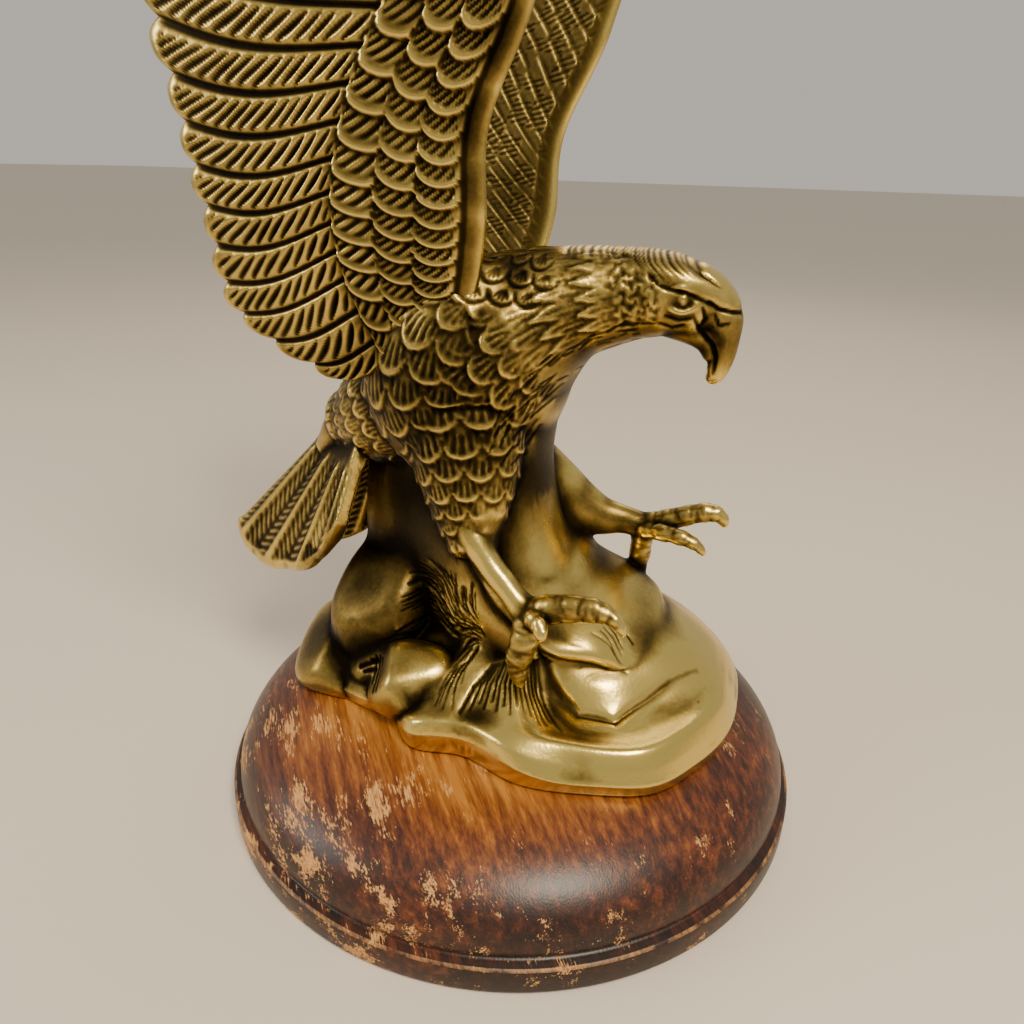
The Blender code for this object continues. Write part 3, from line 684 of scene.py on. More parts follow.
# %% Rock and boulders
ROCK_OUTLINE = [
    (-55, -20), (-45, -28), (-33, -32), (-22, -34), (-12, -42), (2, -40), (18, -44), (36, -40),
    (49, -34), (57, -22), (62, -9), (63, 5), (60, 24), (50, 38), (36, 45), (18, 47), (0, 45),
    (-18, 42), (-34, 37), (-49, 27), (-58, 12), (-60, -4),
]
ROCK_CENTRE = (6.0, 0.0)
# Height of the rock against the share of the way out to its edge, in four sectors. The crease
# inside the front ledge runs at its own share for each bearing from the rock's centre
ROCK_SHARES = [0.0, 0.2, 0.36, 0.5, 0.62, 0.72, 0.80, 0.87, 0.93, 0.97, 1.0]
ROCK_DOME = [56, 56, 55.2, 53.6, 51.2, 48.0, 44.8, 41.4, 37.8, 34.6, 31.5]
ROCK_LEDGE = [55, 54, 52.2, 49.6, 46.2, 40.8, 38.9, 38.6, 38.3, 34.8, 31.0]
ROCK_BACK = [55, 53, 50, 47, 44, 41, 38.5, 36.5, 34.5, 33, 31]
ROCK_SLOPE = [55, 54, 52, 49.6, 46.8, 44, 41.6, 39.6, 38.2, 37, 33.5]
CREASE = [(-128, 0.66), (-90, 0.58), (-62, 0.56), (-52, 0.66), (-27, 0.73), (-2, 0.80), (20, 0.84)]


def rock_height(share, bearing):
    """Height of the rock's top in drawn millimetres."""
    crease = np.interp(bearing, [a for a, _ in CREASE], [b for _, b in CREASE])
    beyond = (share - crease) / (1 - crease)
    warped = np.where(share < crease, share / crease * 0.72, 0.72 + beyond * 0.28)
    knots = np.linspace(0, 1, len(ROCK_SHARES))
    dome = smooth(ROCK_DOME, np.interp(share, ROCK_SHARES, knots))[:, 0]
    back = smooth(ROCK_BACK, np.interp(share, ROCK_SHARES, knots))[:, 0]
    ledge = smooth(ROCK_LEDGE, np.interp(warped, ROCK_SHARES, knots))[:, 0]
    slope = smooth(ROCK_SLOPE, np.interp(share, ROCK_SHARES, knots))[:, 0]
    ledge = slope + (ledge - slope) * step(bearing, -84, -60)
    is_ledge = step(bearing, -128, -104) * (1 - step(bearing, -24, 10))
    is_dome = step(bearing, -24, 10) * (1 - step(bearing, 75, 130))
    height = ledge * is_ledge + dome * is_dome + back * (1 - is_ledge - is_dome)
    turn = np.radians(bearing)
    lump = 0.6 * np.sin(3 * turn + 1.0 + 2 * share) + 0.5 * np.sin(5 * turn + 2.1)
    return height + lump * step(share, 0.2, 0.6) * (1 - step(share, 0.9, 1.0)) * (1 - 0.8 * is_dome)


def rock_place(u, v):
    """Rock: scaled copies of its outline. A ledge runs round its front, a dome rises to its left
    side and the back falls plainly."""
    out = smooth(ROCK_OUTLINE + ROCK_OUTLINE[:1], u) - np.array(ROCK_CENTRE)
    bearing = np.degrees(np.arctan2(out[:, 1], out[:, 0]))
    share = np.interp(v, [0.0, 0.84, 0.88, 1.0], [0.0, 1.0, 0.99, 0.0])
    height = rock_height(share, bearing)
    wall = DRAWN_SEAT + (height - DRAWN_SEAT) * np.clip((0.88 - v) / 0.04, 0, 1)
    flat = np.array(ROCK_CENTRE) + out * share[:, None]
    return np.stack([flat[:, 0], flat[:, 1], np.where(v <= 0.84, height, wall)], axis=1)


def boulder_place(centre, radii, facets):
    """A boulder: a rounded block with soft flats round it, standing on the plinth's level."""
    def place(u, v):
        a = u * 2 * math.pi
        b = v * math.pi
        d = np.stack([np.sin(b) * np.cos(a), np.sin(b) * np.sin(a), np.cos(b)], axis=1)
        press = 1.0 / (np.abs(d) ** 2.8).sum(1) ** (-14 / 2.8)
        for n in facets:
            n = np.array(n) / np.linalg.norm(n)
            press = press + np.clip(d @ n / 0.8, 0, None) ** 14
        p = np.array(centre) + d * (press ** (-1 / 14))[:, None] * np.array(radii)
        p[:, 2] = np.maximum(p[:, 2], DRAWN_SEAT)
        return p
    return place


# Centre, radii and the directions of the flats
BOULDERS = [
    ((-44, -14, 33), (16.5, 17.5, 12.5), [(-1, -1, 0.9), (0.4, -1, 0.7)]),
    ((-35, -8, 45), (15, 18, 22), [(-0.3, -0.7, 1)]),
    ((-18.5, -28, 37.5), (12, 9.8, 10), [(-1, -0.6, 0.6), (0.7, -1, 0.5), (0.2, -0.5, 1)]),
    ((-31, -21, 37), (9, 9, 8.5), [(-0.5, -1, 0.7)]),
    ((-5, -31, 35), (8.5, 8, 7), [(-0.4, -1, 0.8), (0.8, -0.2, 0.7)]),
]


def add_rock(bm):
    """Rock with its boulders."""
    add_shell(bm, 220, 170, rock_place)
    for centre, radii, facets in BOULDERS:
        add_shell(bm, 90, 60, boulder_place(centre, radii, facets))


print("rock:", len(ROCK_OUTLINE), "outline points,", len(BOULDERS), "boulders")

# %% [markdown]
# ## Casting the parts as one
# All the limbs and shells but the wings run into each other, so they are fused as the mould fused
# them: a voxel Remesh makes one closed skin round everything.

# %% Fuse the body
CAST_CELL = 0.45
BODY_TRIANGLES = 196000


def evaluated_mesh(obj):
    """A new mesh of an object with its modifiers applied."""
    bpy.context.view_layer.update()
    return bpy.data.meshes.new_from_object(obj.evaluated_get(bpy.context.evaluated_depsgraph_get()))


def apply_modifiers(obj):
    """Replace an object's mesh by the one that its modifiers make."""
    old = obj.data
    obj.data = evaluated_mesh(obj)
    obj.modifiers.clear()
    bpy.data.meshes.remove(old)


bm = bmesh.new()
add_body(bm)
add_head(bm)
add_legs(bm)
add_shell(bm, 260, TAIL_FEATHERS * 34, tail_place)
add_rock(bm)
body = mesh_from(bm, "brass_eagle")
fuse = body.modifiers.new("fuse", "REMESH")
fuse.mode = "VOXEL"
fuse.voxel_size = CAST_CELL * MM
soften = body.modifiers.new("soften", "SMOOTH")
soften.factor = 0.4
soften.iterations = 1
apply_modifiers(body)
print("fused body:", len(body.data.vertices), "points")

# %% [markdown]
# ## Cuts made after casting
# Lines that cross several forms are engraved on the fused skin, as a chaser would: points near a
# line move inwards, or outwards for a raised edge. A line is drawn flat, in a side view (x, z) or
# in plan (x, y), and lands on the skin that faces that way.

# %% Engraving tool
class Skin:
    """Points of a mesh in drawn millimetres with their normals, to be engraved."""

    def __init__(self, obj):
        self.mesh = obj.data
        count = len(self.mesh.vertices)
        co = np.empty(count * 3, dtype=np.float32)
        normal = np.empty(count * 3, dtype=np.float32)
        self.mesh.vertices.foreach_get("co", co)
        self.mesh.vertices.foreach_get("normal", normal)
        self.co = co.reshape(-1, 3).astype(float) / MM
        self.co[:, 2] -= SEAT - DRAWN_SEAT * GROW
        self.co /= GROW
        self.normal = normal.reshape(-1, 3).astype(float)
        self.rise = np.zeros(count)

    def engrave(self, line, axes, facing, width, depth, limits=None, taper=True):
        """Lower the skin along a line. Facing is the least part of the normal towards the view,
        or None for a line that goes right over the form."""
        line = np.asarray(line, dtype=float)
        view = [k for k in (0, 1, 2) if k not in axes][0]
        flat = self.co[:, axes]
        low, high = line.min(0) - 3 * width, line.max(0) + 3 * width
        near = np.all((flat > low) & (flat < high), axis=1)
        if facing is not None:
            near &= self.normal[:, view] * math.copysign(1.0, facing) > abs(facing)
        if limits is not None:
            near &= (self.co[:, view] > limits[0]) & (self.co[:, view] < limits[1])
        chosen = np.flatnonzero(near)
        if len(chosen) == 0:
            return
        p = flat[chosen]
        best = np.full(len(p), 1e9)
        where = np.zeros(len(p))
        total = len(line) - 1
        for n, (a, b) in enumerate(zip(line, line[1:])):
            ab = b - a
            t = np.clip(((p - a) @ ab) / max(ab @ ab, 1e-9), 0, 1)
            d = np.linalg.norm(p - a - t[:, None] * ab, axis=1)
            closer = d < best
            best = np.where(closer, d, best)
            where = np.where(closer, (n + t) / total, where)
        ends = np.clip(np.sin(math.pi * where), 0, 1) ** 0.5 if taper else 1.0
        self.rise[chosen] -= depth * np.exp(-((best / width) ** 2)) * ends

    def finish(self):
        """Move the points along their normals by the engraved depths."""
        co = to_frame(self.co + self.normal * self.rise[:, None])
        self.mesh.vertices.foreach_set("co", co.ravel().astype(np.float32))
        self.mesh.update()


SIDE = [0, 2]
PLAN = [0, 1]


def mesh_edges(mesh):
    """Pairs of point numbers, one for each edge."""
    edges = np.empty(len(mesh.edges) * 2, dtype=np.int32)
    mesh.edges.foreach_get("vertices", edges)
    return edges.reshape(-1, 2)


def smoothed(co, edges, rounds, share=0.5):
    """Coordinates after rounds of averaging each point with its neighbours, by its share."""
    count = len(co)
    ends = np.concatenate([edges[:, 0], edges[:, 1]])
    others = np.concatenate([edges[:, 1], edges[:, 0]])
    degree = np.maximum(np.bincount(ends, minlength=count), 1)[:, None]
    for _ in range(rounds):
        total = np.stack([np.bincount(ends, weights=co[others, k], minlength=count) for k in range(3)], 1)
        co = co + share * (total / degree - co)
    return co


# %% [markdown]
# ## Places smoothed in the wax
# On the real bird the web under the belly, the legs and the rock flow into each other, while the
# fused limbs meet in sharp valleys. Averaging each point with its neighbours, only inside a list
# of balls, melts those valleys and leaves the feathers beside them sharp.

# %% Melt the smooth places together
MELTED = [
    # x, y, z and radius of the places where the wax was smoothed with a warm thumb
    (6, 0, 100, 9), (6, 2, 90, 12), (7, 3, 80, 13), (12, 2, 70, 13), (20, 2, 60, 14),
    (30, 4, 54, 14), (6, 17, 84, 10), (14, 19, 74, 7), (3, -19, 76, 8), (9, -21, 67, 8),
    (15, -18, 60, 8), (-2, -20, 85, 5), (-30, -12, 66, 13), (40, 5, 47, 15), (-44, -8, 58, 12),
    (-20, -20, 72, 9), (-2, -13, 147, 6), (-1, -18, 141, 7), (3, -14, 146, 7), (18, -24, 46, 7),
    (10, -26, 44, 6), (24, -20, 50, 6), (9, 0, 110, 9), (12, 0, 119, 7), (36, 0, 146, 8),
    (44, -2, 142, 7), (44, 2, 142, 7), (45, 0, 130, 4), (42, 22, 46, 12), (24, 24, 52, 9),
    (-8, -20, 58, 7), (-3, -20, 48, 6), (-32, -28, 42, 7), (-4, -31, 40, 8), (-27, -22, 56, 9),
    (-38, -22, 64, 8),
]
skin = Skin(body)
share = np.zeros(len(skin.co))
for x, y, z, r in MELTED:
    away = np.linalg.norm(skin.co - np.array([x, y, z]), axis=1) / r
    share = np.maximum(share, 0.7 * (1 - step(away, 0.6, 1.2)))
edges = mesh_edges(body.data)
edges = edges[(share[edges[:, 0]] > 0) | (share[edges[:, 1]] > 0)]
used, inverse = np.unique(edges, return_inverse=True)
skin.co[used] = smoothed(skin.co[used], inverse.reshape(-1, 2), 60, share[used][:, None])
skin.finish()
print("melted", int((share > 0).sum()), "points")

# %% [markdown]
# ## Lines of the head
# Curved grooves run over the crown and down to the brow, closer together towards the face. The
# brow, the mouth, the nostril and the folds behind the beak are single cuts on both sides.

# %% Engrave the head
skin = Skin(body)
# Start and end of a crown groove, as it leans forward from the neck to the forehead
CROWN_GROOVES = [
    ((10.8, 149.2), (12.2, 145.8)), ((19.6, 149.0), (21.9, 145.6)), ((24, 149.0), (27.2, 144.6)),
    ((28.3, 148.8), (34.4, 142.3)), ((34.3, 149.0), (42.2, 142.6)), ((39.5, 147), (46.5, 140.6)),
]
for n in range(26):
    start, end = smooth([(*a, *b) for a, b in CROWN_GROOVES], np.array([n / 25]))[0].reshape(2, 2)
    middle = (start + end) / 2 + np.array([-0.6, -0.1])
    over = start + np.array([-0.8, 3.0])
    skin.engrave([over, start, middle, end], SIDE, None, 0.28, 0.24 + 0.14 * (n % 3 == 0))
# The brow, the edge of the beak, the nostril, the mouth and the folds of the face
FACE_LINES = [
    # Line in the side view, how squarely the skin must face the side, width and depth
    ([(30.6, 143.6), (33.2, 141.2), (36.5, 140.3), (39.5, 139.8), (43, 138.2), (45, 137.2)],
     0.05, 0.5, 0.5),
    ([(44.1, 137.8), (46.1, 136.4), (51.5, 135.6)], 0.1, 0.45, 0.6),
    ([(45.3, 136.0), (46.4, 132.9), (48.8, 133.7)], 0.2, 0.35, 0.3),
    ([(41.0, 135.2), (42.6, 131.6), (45.4, 128.4), (46.3, 125.7), (46.2, 121.3)], 0.2, 0.45, 0.7),
    ([(33.8, 133.0), (36.7, 131.9), (39.5, 132.9)], 0.2, 0.4, 0.5),
    ([(35.0, 134.9), (38.2, 133.9), (41.0, 134.4)], 0.2, 0.35, 0.4),
    ([(42.8, 137.4), (43.6, 134.4), (42.6, 132.4)], 0.2, 0.35, 0.4),
]
for sign in (-1, 1):
    for n, (line, facing, width, depth) in enumerate(FACE_LINES):
        skin.engrave(line, SIDE, facing * sign, width, depth, taper=n != 1)
print("head engraved")

# %% [markdown]
# ## Lines of the rock and the throat
# A crease runs inside the front ledge, and a fan of cuts opens below the right foot. Beside it lies
# combed grass, cut stroke by stroke, and the stones and the dome carry a few leaf-shaped cuts. The
# smooth throat is only scratched. A seeded generator places the strokes, so they never change.

# %% Crease and fan of cuts
LIP = [(14, -21.5), (17.9, -22.8), (27.3, -26.9), (36.3, -25.7), (41.7, -18.1), (52.2, -1.3)]
skin.engrave(LIP, PLAN, 0.2, 0.9, 1.1, limits=(30, 52))
generator = np.random.default_rng(5)
for n in range(15):
    turn = n / 14
    start = np.array([3.5 + 10 * turn, -24.5 + 3 * turn])
    end = np.array([-1 + 27 * turn, -37.5 + 3.5 * turn])
    end = start + (end - start) * generator.uniform(0.72, 1.0)
    middle = (start + end) / 2 + np.array([-0.8, 0.2])
    skin.engrave([start, middle, end], PLAN, 0.25, 0.45, generator.uniform(0.45, 0.65), limits=(30, 52))
print("crease and fan engraved")

# %% Combed grass
# Strokes of a wide fan that opens to the rear from one point at the foot, in the side view
FAN = np.array([1.5, 49.0])
for n in range(260):
    turn = math.radians(generator.uniform(112, 205))
    reach = generator.uniform(3, 24)
    length = generator.uniform(3.5, 8)
    curl = 0.5 * math.sin(reach * 0.35)
    line = []
    for k in range(4):
        a = turn + curl * (k / 3) * length / reach
        line.append(FAN + (reach + length * k / 3) * np.array([math.cos(a), math.sin(a)]))
    on_stone = min(p[1] for p in line) < 47.5 and min(p[0] for p in line) < -8
    if line[0][0] > -26 and line[-1][0] > -27 and line[-1][1] < 69 and not on_stone:
        skin.engrave(line, SIDE, -0.05, 0.26, 0.25, limits=(-40, -8))
print("grass engraved")

# %% Cuts on the stones, the throat and the dome
# Start in the side view, direction in degrees and length
STONE_CUTS = [(-34.5, 37.5, 35, 6.5), (-33, 37, 30, 6), (-29.5, 42.5, -75, 6), (-28, 43, -75, 7),
              (-26.8, 43.2, -72, 6), (-31.5, 40.2, 25, 4)]
for x, z, lean, length in STONE_CUTS:
    end = [x + length * math.cos(math.radians(lean)), z + length * math.sin(math.radians(lean))]
    skin.engrave([(x, z), end], SIDE, -0.05, 0.5, 0.9, limits=(-45, -16))
for n in range(70):
    along = generator.uniform(0, 1)
    x, z = smooth([(6, 97), (7, 107), (12, 116), (20, 122.5), (29, 126.5)], np.array([along]))[0]
    lean = math.radians(75 - 60 * along + generator.uniform(-14, 14))
    start = np.array([x, z]) + generator.uniform(0.5, 6.5) * np.array([-math.sin(lean), math.cos(lean)])
    end = start + generator.uniform(2, 6) * np.array([math.cos(lean), math.sin(lean)])
    skin.engrave([start, end], SIDE, -0.05, 0.24, 0.22, limits=(-24, 0))
# Start and end in plan
LEAF_CUTS = [((28.5, -7.8), (36, -9.5)), ((28.8, -11), (34.3, -13)), ((28.2, -12.6), (34.6, -14.4)),
             ((27.8, -14), (34, -15.9)), ((26, -16.5), (36.3, -15.5))]
for start, end in LEAF_CUTS:
    middle = (np.array(start) + end) / 2 + [0, 0.5]
    skin.engrave([start, middle, end], PLAN, 0.3, 0.42, 0.38, limits=(36, 60))
print("stones, throat and dome engraved")

# %% Small feathers over the shoulder
# They lie where the wing's front edge runs into the neck: centres in the side view
SHOULDER = [(-4.5, 147.4), (1.2, 146.8), (6.9, 146.2), (-1.8, 143.4), (3.9, 142.8), (9.4, 142.3),
            (-4.5, 139.4), (1.0, 139.0), (6.6, 138.6)]
SHOULDER_RADIUS = 3.3


def ray(centre, turn, share):
    """A point at a share of a small feather's radius from its centre."""
    a = math.radians(turn)
    reach = share * SHOULDER_RADIUS
    return centre[0] + reach * math.cos(a), centre[1] + reach * math.sin(a)


for centre in SHOULDER:
    rim = [ray(centre, turn, 1.0) for turn in np.linspace(180, 335, 9)]
    skin.engrave(rim, SIDE, -0.05, 0.42, 0.36, limits=(-32, -6))
    for turn in (222, 246, 270, 294):
        cut = [ray(centre, turn, share) for share in (0.1, 0.5, 0.82)]
        skin.engrave(cut, SIDE, -0.05, 0.3, 0.2, limits=(-32, -6))
skin.finish()
print("shoulder engraved")

# %% [markdown]
# A Decimate then takes away the points that flat places don't need, and spends them on the
# carving. It is applied, so that what is seen here is what is kept.

# %% Thin the body's skin
thin = body.modifiers.new("thin", "DECIMATE")
thin.ratio = min(1.0, BODY_TRIANGLES / (2 * len(body.data.polygons)))
apply_modifiers(body)
body.data.shade_smooth()
print("body:", sum(len(p.vertices) - 2 for p in body.data.polygons), "triangles")

# %% [markdown]
# ## Where brass is bright and where it is dark
# Old brass is rubbed bright on its high spots and keeps dark tarnish in its hollows. Each point's
# height over its surroundings is measured by comparing the skin with a smoothed copy of itself,
# fine for the cuts and coarse for the larger folds, and kept as attributes for the material. A
# list of places then brightens or darkens the brass: some are rubbed or tarnished, others are
# painted highlights and painted shade.

# %% Measure high spots and hollows
RUBBED_AND_PAINTED_LIGHT = [
    # x, y, z and radius of a place, and its share: above nought brightens, below nought darkens.
    # Some are brass that hands and the buffing wheel brightened, or seldom reached and left tarnished;
    # others are painted highlights, as on the rock ledge, the web and the tail, and painted shade,
    # as on the column, under the belly, on the boulders behind the right foot and along the right
    # wing's front edge
    (45, -25, 36, 17, 1.7), (55, -5, 40, 15, 1.2), (30, -20, 44, 15, 1.4), (20, -38, 36, 11, 1.5),
    (50, 15, 42, 14, 0.6), (2, -28, 74, 6, 1), (8, -27, 68, 4, 1), (9, -24, 128, 5, 0.2),
    (18, 20, 79, 6, 0.8), (-1, -17, 144, 9, -0.7), (6, 15, 84, 7, 0.7), (12, -4, 72, 15, 1.3),
    (22, -6, 58, 13, 1.0), (-15, -34, 44, 7, 0.4), (-64, -10, 72, 18, 0.4), (-52, -14, 68, 7, 1),
    (44, 0, 145, 5, 0.2), (-38, -20, 54, 23, -1.3), (-47, -24, 40, 17, -1.0), (-46, -30, 31, 7, -0.3),
    (-20, -14, 78, 17, -0.8), (-34, -20, 84, 12, -0.5), (6, -4, 96, 12, -0.5), (-22, -30, 38, 9, -0.9),
    (-12, -20, 60, 12, 0.2), (48, 0, 130, 8, -1.1), (-3, -21, 150, 5, -0.7), (0, -23, 160, 6, -0.9),
    (0, -24, 171, 7, -0.9), (6, -25, 184, 8, -0.9), (11, -26, 198, 8, -0.8), (13, -28, 212, 8, -0.8),
    (11, -30, 226, 8, -0.8), (10, 0, 108, 10, -0.4), (25, -27, 69, 9, -0.6), (12.5, -30, 54, 7, -0.7),
    (42, 19, 75, 9, -0.5), (29, 22, 58, 8, -0.6), (-14, -24, 116, 26, -0.4), (34, -8, 140, 12, -0.3),
]


def add_wear_and_painted_light(obj):
    """Store fine relief and coarse relief for tarnish in hollows, and the listed places of rubbing,
    tarnish, painted highlights and painted shade, on every point.
    """
    skin = Skin(obj)
    edges = mesh_edges(obj.data)
    near = smoothed(skin.co, edges, 6)
    far = smoothed(near, edges, 50)
    fine = ((skin.co - near) * skin.normal).sum(1)
    coarse = ((near - far) * skin.normal).sum(1)
    polish_and_painted_light = np.zeros(len(skin.co))
    # Places that are painted highlights and painted shade are stored together with the rubbed and tarnished
    # ones
    for x, y, z, r, share in RUBBED_AND_PAINTED_LIGHT:
        d = np.linalg.norm(skin.co - np.array([x, y, z]), axis=1) / r
        here = share * (1 - step(d, 0.5, 1.3))
        polish_and_painted_light = np.where(np.abs(here) > np.abs(polish_and_painted_light), here, polish_and_painted_light)
    for name, values, scale in (("fine", fine, 0.12), ("coarse", coarse, 0.35), ("polish_and_painted_light", polish_and_painted_light, None)):
        stored = values if scale is None else 0.5 + 0.5 * np.tanh(values / scale)
        attribute = obj.data.attributes.new(name, "FLOAT", "POINT")
        attribute.data.foreach_set("value", stored.astype(np.float32))
    print(obj.name, "fine", np.round(np.percentile(fine, [5, 50, 95]), 3),
          "coarse", np.round(np.percentile(coarse, [5, 50, 95]), 3))


for piece in (body, wing_right, wing_left):
    add_wear_and_painted_light(piece)

# %% [markdown]
# ## Aged cast brass
# Brass cast in sand, chased by hand, lacquered and then worn: golden where it is rubbed, olive
# brown where it has tarnished, nearly black in the cuts, with painted highlights and painted shade
# in a few listed places. It is a metal, so its colour tints its reflections, and it keeps the
# usual IOR. Buffed spots are glossy and the rest is satin.

# %% Brass material
brass, tree, shader = new_material("aged cast brass")
place = add_node(tree, "ShaderNodeTexCoord").outputs["Object"]
fine = add_node(tree, "ShaderNodeAttribute", {"attribute_name": "fine"}).outputs["Fac"]
coarse = add_node(tree, "ShaderNodeAttribute", {"attribute_name": "coarse"}).outputs["Fac"]
# This attribute holds rubbed and tarnished places, and also painted highlights and painted shade
polish_and_painted_light = add_node(tree, "ShaderNodeAttribute", {"attribute_name": "polish_and_painted_light"}).outputs["Fac"]
# Tarnish drifts over about 25 mm and speckles at about 1 mm
cloud = add_node(tree, "ShaderNodeTexNoise", inputs={
    "Vector": place, "Scale": 1 / (25 * MM), "Detail": 4.0, "Roughness": 0.6}).outputs["Fac"]
speck = add_node(tree, "ShaderNodeTexNoise", inputs={
    "Vector": place, "Scale": 1 / (1.2 * MM), "Detail": 3.0, "Roughness": 0.7}).outputs["Fac"]
# Brightness is a weighted sum, and it is near 0.5 on a plain surface
bright = -0.255
for part, weight in ((polish_and_painted_light, 0.26), (speck, 0.16), (cloud, 0.35), (coarse, 0.38), (fine, 0.62)):
    bright = add_node(tree, "ShaderNodeMath", {"operation": "MULTIPLY_ADD"},
                      {0: part, 1: weight, 2: bright}).outputs[0]
tone = add_node(tree, "ShaderNodeValToRGB", inputs={"Fac": bright})
set_ramp(tone, [(0.12, "#110C06"), (0.36, "#332911"), (0.52, "#5F4E26"), (0.68, "#957E41"),
                (0.92, "#E0C66E")])
tree.links.new(tone.outputs["Color"], shader.inputs["Base Color"])
shader.inputs["Metallic"].default_value = 1.0
dull = add_node(tree, "ShaderNodeMapRange", inputs={
    "Value": bright, "From Min": 0.2, "From Max": 0.9, "To Min": 0.56, "To Max": 0.24})
tree.links.new(dull.outputs["Result"], shader.inputs["Roughness"])
# The skin of the casting: sand grain about 0.5 mm wide, softened by buffing
grain = add_node(tree, "ShaderNodeTexNoise", inputs={
    "Vector": place, "Scale": 1 / (0.9 * MM), "Detail": 2.0}).outputs["Fac"]
bump = add_node(tree, "ShaderNodeBump", inputs={
    "Height": grain, "Strength": 0.25, "Distance": 0.15 * MM})
tree.links.new(bump.outputs["Normal"], shader.inputs["Normal"])
for piece in (body, wing_right, wing_left):
    piece.data.materials.clear()
    piece.data.materials.append(brass)
print("brass:", len(tree.nodes), "nodes")

# %% [markdown]
# ## The plinth
# The plinth is turned on a lathe: a flat foot, a lip, a narrow groove and a wide quarter round.
# Its profile is drawn with a few points and spun, fine enough that no flats show on its outline.

# %% Turned plinth
RADIUS = plinth_high.x / MM
HEIGHT = plinth_high.z / MM
LIP_HEIGHT = 7.2
LIP_STEP = 2.1
GROOVE_HEIGHT = 2.0
OVOLO_WIDTH = 29.1
FOOT_ROUND = 1.2


def plinth_profile():
    """Radius and height in millimetres from the top centre outwards and down to the foot."""
    shoulder = RADIUS - LIP_STEP
    top = shoulder - OVOLO_WIDTH
    start = LIP_HEIGHT + GROOVE_HEIGHT
    points = [(0.0, HEIGHT), (0.5 * top, HEIGHT), (top, HEIGHT)]
    for n in range(1, 25):
        a = n / 24 * math.pi / 2
        points.append((top + OVOLO_WIDTH * math.sin(a), start + (HEIGHT - start) * math.cos(a)))
    points += [(shoulder - 0.1, start - 0.25), (shoulder - 0.9, start - 0.5),
               (shoulder - 1.2, start - 1.0), (shoulder - 0.9, start - 1.5),
               (shoulder - 0.2, LIP_HEIGHT + 0.15), (RADIUS - 0.9, LIP_HEIGHT),
               (RADIUS - 0.25, LIP_HEIGHT - 0.25), (RADIUS, LIP_HEIGHT - 0.8)]
    for n in range(0, 7):
        a = n / 6 * math.pi / 2
        points.append((RADIUS - FOOT_ROUND * (1 - math.cos(a)), FOOT_ROUND * (1 - math.sin(a))))
    return points + [(0.5 * RADIUS, 0.0), (0.0, 0.0)]


bm = bmesh.new()
verts = [bm.verts.new((r * MM, 0.0, z * MM)) for r, z in plinth_profile()]
edges = [bm.edges.new(pair) for pair in zip(verts, verts[1:])]
bmesh.ops.spin(bm, geom=verts + edges, axis=(0, 0, 1), cent=(0, 0, 0), dvec=(0, 0, 0),
               angle=2 * math.pi, steps=240, use_merge=True, use_duplicate=False)
bmesh.ops.remove_doubles(bm, verts=bm.verts, dist=0.00001)
bmesh.ops.recalc_face_normals(bm, faces=bm.faces)
mesh = bpy.data.meshes.new("turned_wood_plinth")
bm.to_mesh(mesh)
bm.free()
mesh.shade_smooth()
plinth = bpy.data.objects.new("turned_wood_plinth", mesh)
bpy.context.scene.collection.objects.link(plinth)
print("plinth:", len(mesh.polygons), "faces, radius", round(RADIUS, 1), "mm")

# %% [markdown]
# ## Worn stained wood
# A close-grained hardwood, stained, varnished and worn. The stain is golden brown on the flat top
# near the brass and darkens to red brown towards the rim, and this darkening down the rounded side
# is painted shade.
# It is worn through in patches that follow the grain, most of all on the side that faces the
# bird's right and rear, and in a thin broken line along the lip. The grain runs straight through
# the block, so the turned curves cut it into streaks, and its pores are short dark dashes.

# %% Wood material
wood, tree, shader = new_material("stained turned wood")
place = add_node(tree, "ShaderNodeTexCoord").outputs["Object"]
GRAIN_TURN = math.radians(-50)
# Noises drawn out along the grain: length and width of a mark in mm, detail, roughness, shift in m
GRAINS = [
    (30, 2.0, 3.0, 0.6, 0.0),  # streaks of darker and lighter wood
    (4, 0.45, 2.0, 0.6, 0.0),  # pores, drawn a little coarse so that they show
    (20, 8, 7.0, 0.7, 0.31),  # where the stain has worn through
]
made = []
for length, width, detail, roughness, shift in GRAINS:
    turned = add_node(tree, "ShaderNodeMapping", inputs={
        "Vector": place, "Rotation": (0, 0, -GRAIN_TURN), "Location": (shift, shift, 0)})
    drawn = add_node(tree, "ShaderNodeMapping", inputs={
        "Vector": turned.outputs[0],
        "Scale": (1 / (length * MM), 1 / (width * MM), 1 / (width * MM))})
    made.append(add_node(tree, "ShaderNodeTexNoise", inputs={
        "Vector": drawn.outputs[0], "Scale": 1.0, "Detail": detail, "Roughness": roughness}).outputs["Fac"])
streak, pore, patch = made
broad = add_node(tree, "ShaderNodeTexNoise", inputs={
    "Vector": place, "Scale": 1 / (45 * MM), "Detail": 3.0}).outputs["Fac"]

# %% Where the stain is dark and where it is worn
# Distance from the axis, and the share of the way out from the brass to the foot; this share darkens the
# stain towards the rim, a painted shade of the rounded side
flat = add_node(tree, "ShaderNodeVectorMath", {"operation": "MULTIPLY"}, {0: place, 1: (1, 1, 0)})
radius = add_node(tree, "ShaderNodeVectorMath", {"operation": "LENGTH"},
                  {0: flat.outputs[0]}).outputs["Value"]
out = add_node(tree, "ShaderNodeMapRange", inputs={
    "Value": radius, "From Min": 0.56 * RADIUS * MM, "From Max": RADIUS * MM}).outputs["Result"]
# 1 at the rim on the side that faces the bird's right and rear, -1 on the other side
facing = add_node(tree, "ShaderNodeVectorMath", {"operation": "DOT_PRODUCT"}, {
    0: place, 1: (-0.6 / (RADIUS * MM), -0.8 / (RADIUS * MM), 0)}).outputs["Value"]
side = add_node(tree, "ShaderNodeMapRange", inputs={
    "Value": facing, "From Min": 0.15, "From Max": 0.95, "To Max": 0.09}).outputs["Result"]
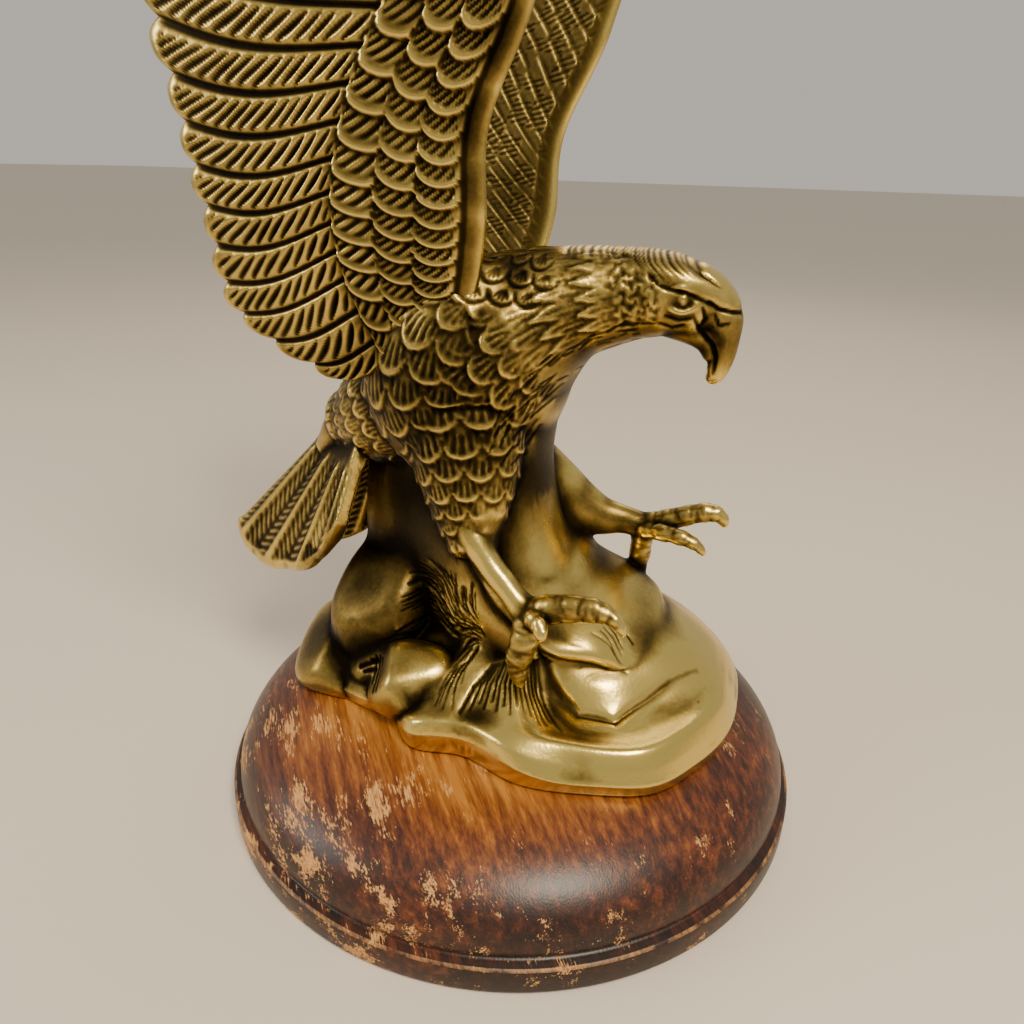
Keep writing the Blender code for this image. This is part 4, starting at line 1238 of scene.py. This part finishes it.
# The share out to the rim darkens the stain: painted shade of the rounded side
shade, wear = 0.0, -0.15
for part, weight in ((streak, 0.55), (pore, 0.2), (broad, 0.45), (out, -0.34), (side, 1.3)):
    shade = add_node(tree, "ShaderNodeMath", {"operation": "MULTIPLY_ADD"},
                     {0: part, 1: weight, 2: shade}).outputs[0]
for part, weight in ((patch, 1.0), (side, 1.0), (pore, 0.3)):
    wear = add_node(tree, "ShaderNodeMath", {"operation": "MULTIPLY_ADD"},
                    {0: part, 1: weight, 2: wear}).outputs[0]
worn = add_node(tree, "ShaderNodeMapRange", inputs={
    "Value": wear, "From Min": 0.63, "From Max": 0.68}).outputs["Result"]
# The thin line along the lip lies above this height and outside this radius
lip = add_node(tree, "ShaderNodeMapRange", inputs={
    "Value": patch, "From Min": 0.42, "From Max": 0.6, "To Max": 0.8}).outputs["Result"]
height = add_node(tree, "ShaderNodeSeparateXYZ", inputs={"Vector": place}).outputs["Z"]
for part, least in ((height, LIP_HEIGHT - 0.55), (radius, RADIUS - 0.75)):
    beyond = add_node(tree, "ShaderNodeMath", {"operation": "GREATER_THAN"},
                      {0: part, 1: least * MM}).outputs[0]
    lip = add_node(tree, "ShaderNodeMath", {"operation": "MULTIPLY"}, {0: lip, 1: beyond}).outputs[0]
worn = add_node(tree, "ShaderNodeMath", {"operation": "MAXIMUM"}, {0: worn, 1: lip}).outputs[0]

# %% Colours, gloss and pores of the wood
stain = add_node(tree, "ShaderNodeValToRGB", inputs={"Fac": shade})
set_ramp(stain, [(0.26, "#1C0C05"), (0.38, "#37190C"), (0.48, "#5C2D14"), (0.58, "#834A1B"),
                 (0.7, "#AC702C")])
bare = add_node(tree, "ShaderNodeValToRGB", inputs={"Fac": pore})
set_ramp(bare, [(0.3, "#8E5A2C"), (0.48, "#B9834A"), (0.7, "#D0A062")])
mix = add_node(tree, "ShaderNodeMix", {"data_type": "RGBA"}, {
    "Factor": worn, "A": stain.outputs["Color"], "B": bare.outputs["Color"]})
tree.links.new(mix.outputs["Result"], shader.inputs["Base Color"])
# Varnish is glossier than bare wood
gloss = add_node(tree, "ShaderNodeMapRange", inputs={"Value": worn, "To Min": 0.36, "To Max": 0.65})
tree.links.new(gloss.outputs["Result"], shader.inputs["Roughness"])
bump = add_node(tree, "ShaderNodeBump", inputs={
    "Height": pore, "Strength": 0.3, "Distance": 0.15 * MM})
tree.links.new(bump.outputs["Normal"], shader.inputs["Normal"])
plinth.data.materials.append(wood)
print("wood:", len(tree.nodes), "nodes")

# %% [markdown]
# ## Joining the pieces to the frame
# Nothing moves on a statue, so every piece rides on the one body. The brass pieces stand for the
# casting of the frame and the turned plinth for the frame's plinth.

# %% Join the pieces to the frame
for piece in (body, wing_right, wing_left):
    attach(piece, "root")
    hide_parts("eagle_casting")
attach(plinth, "root")
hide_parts("wood_plinth")
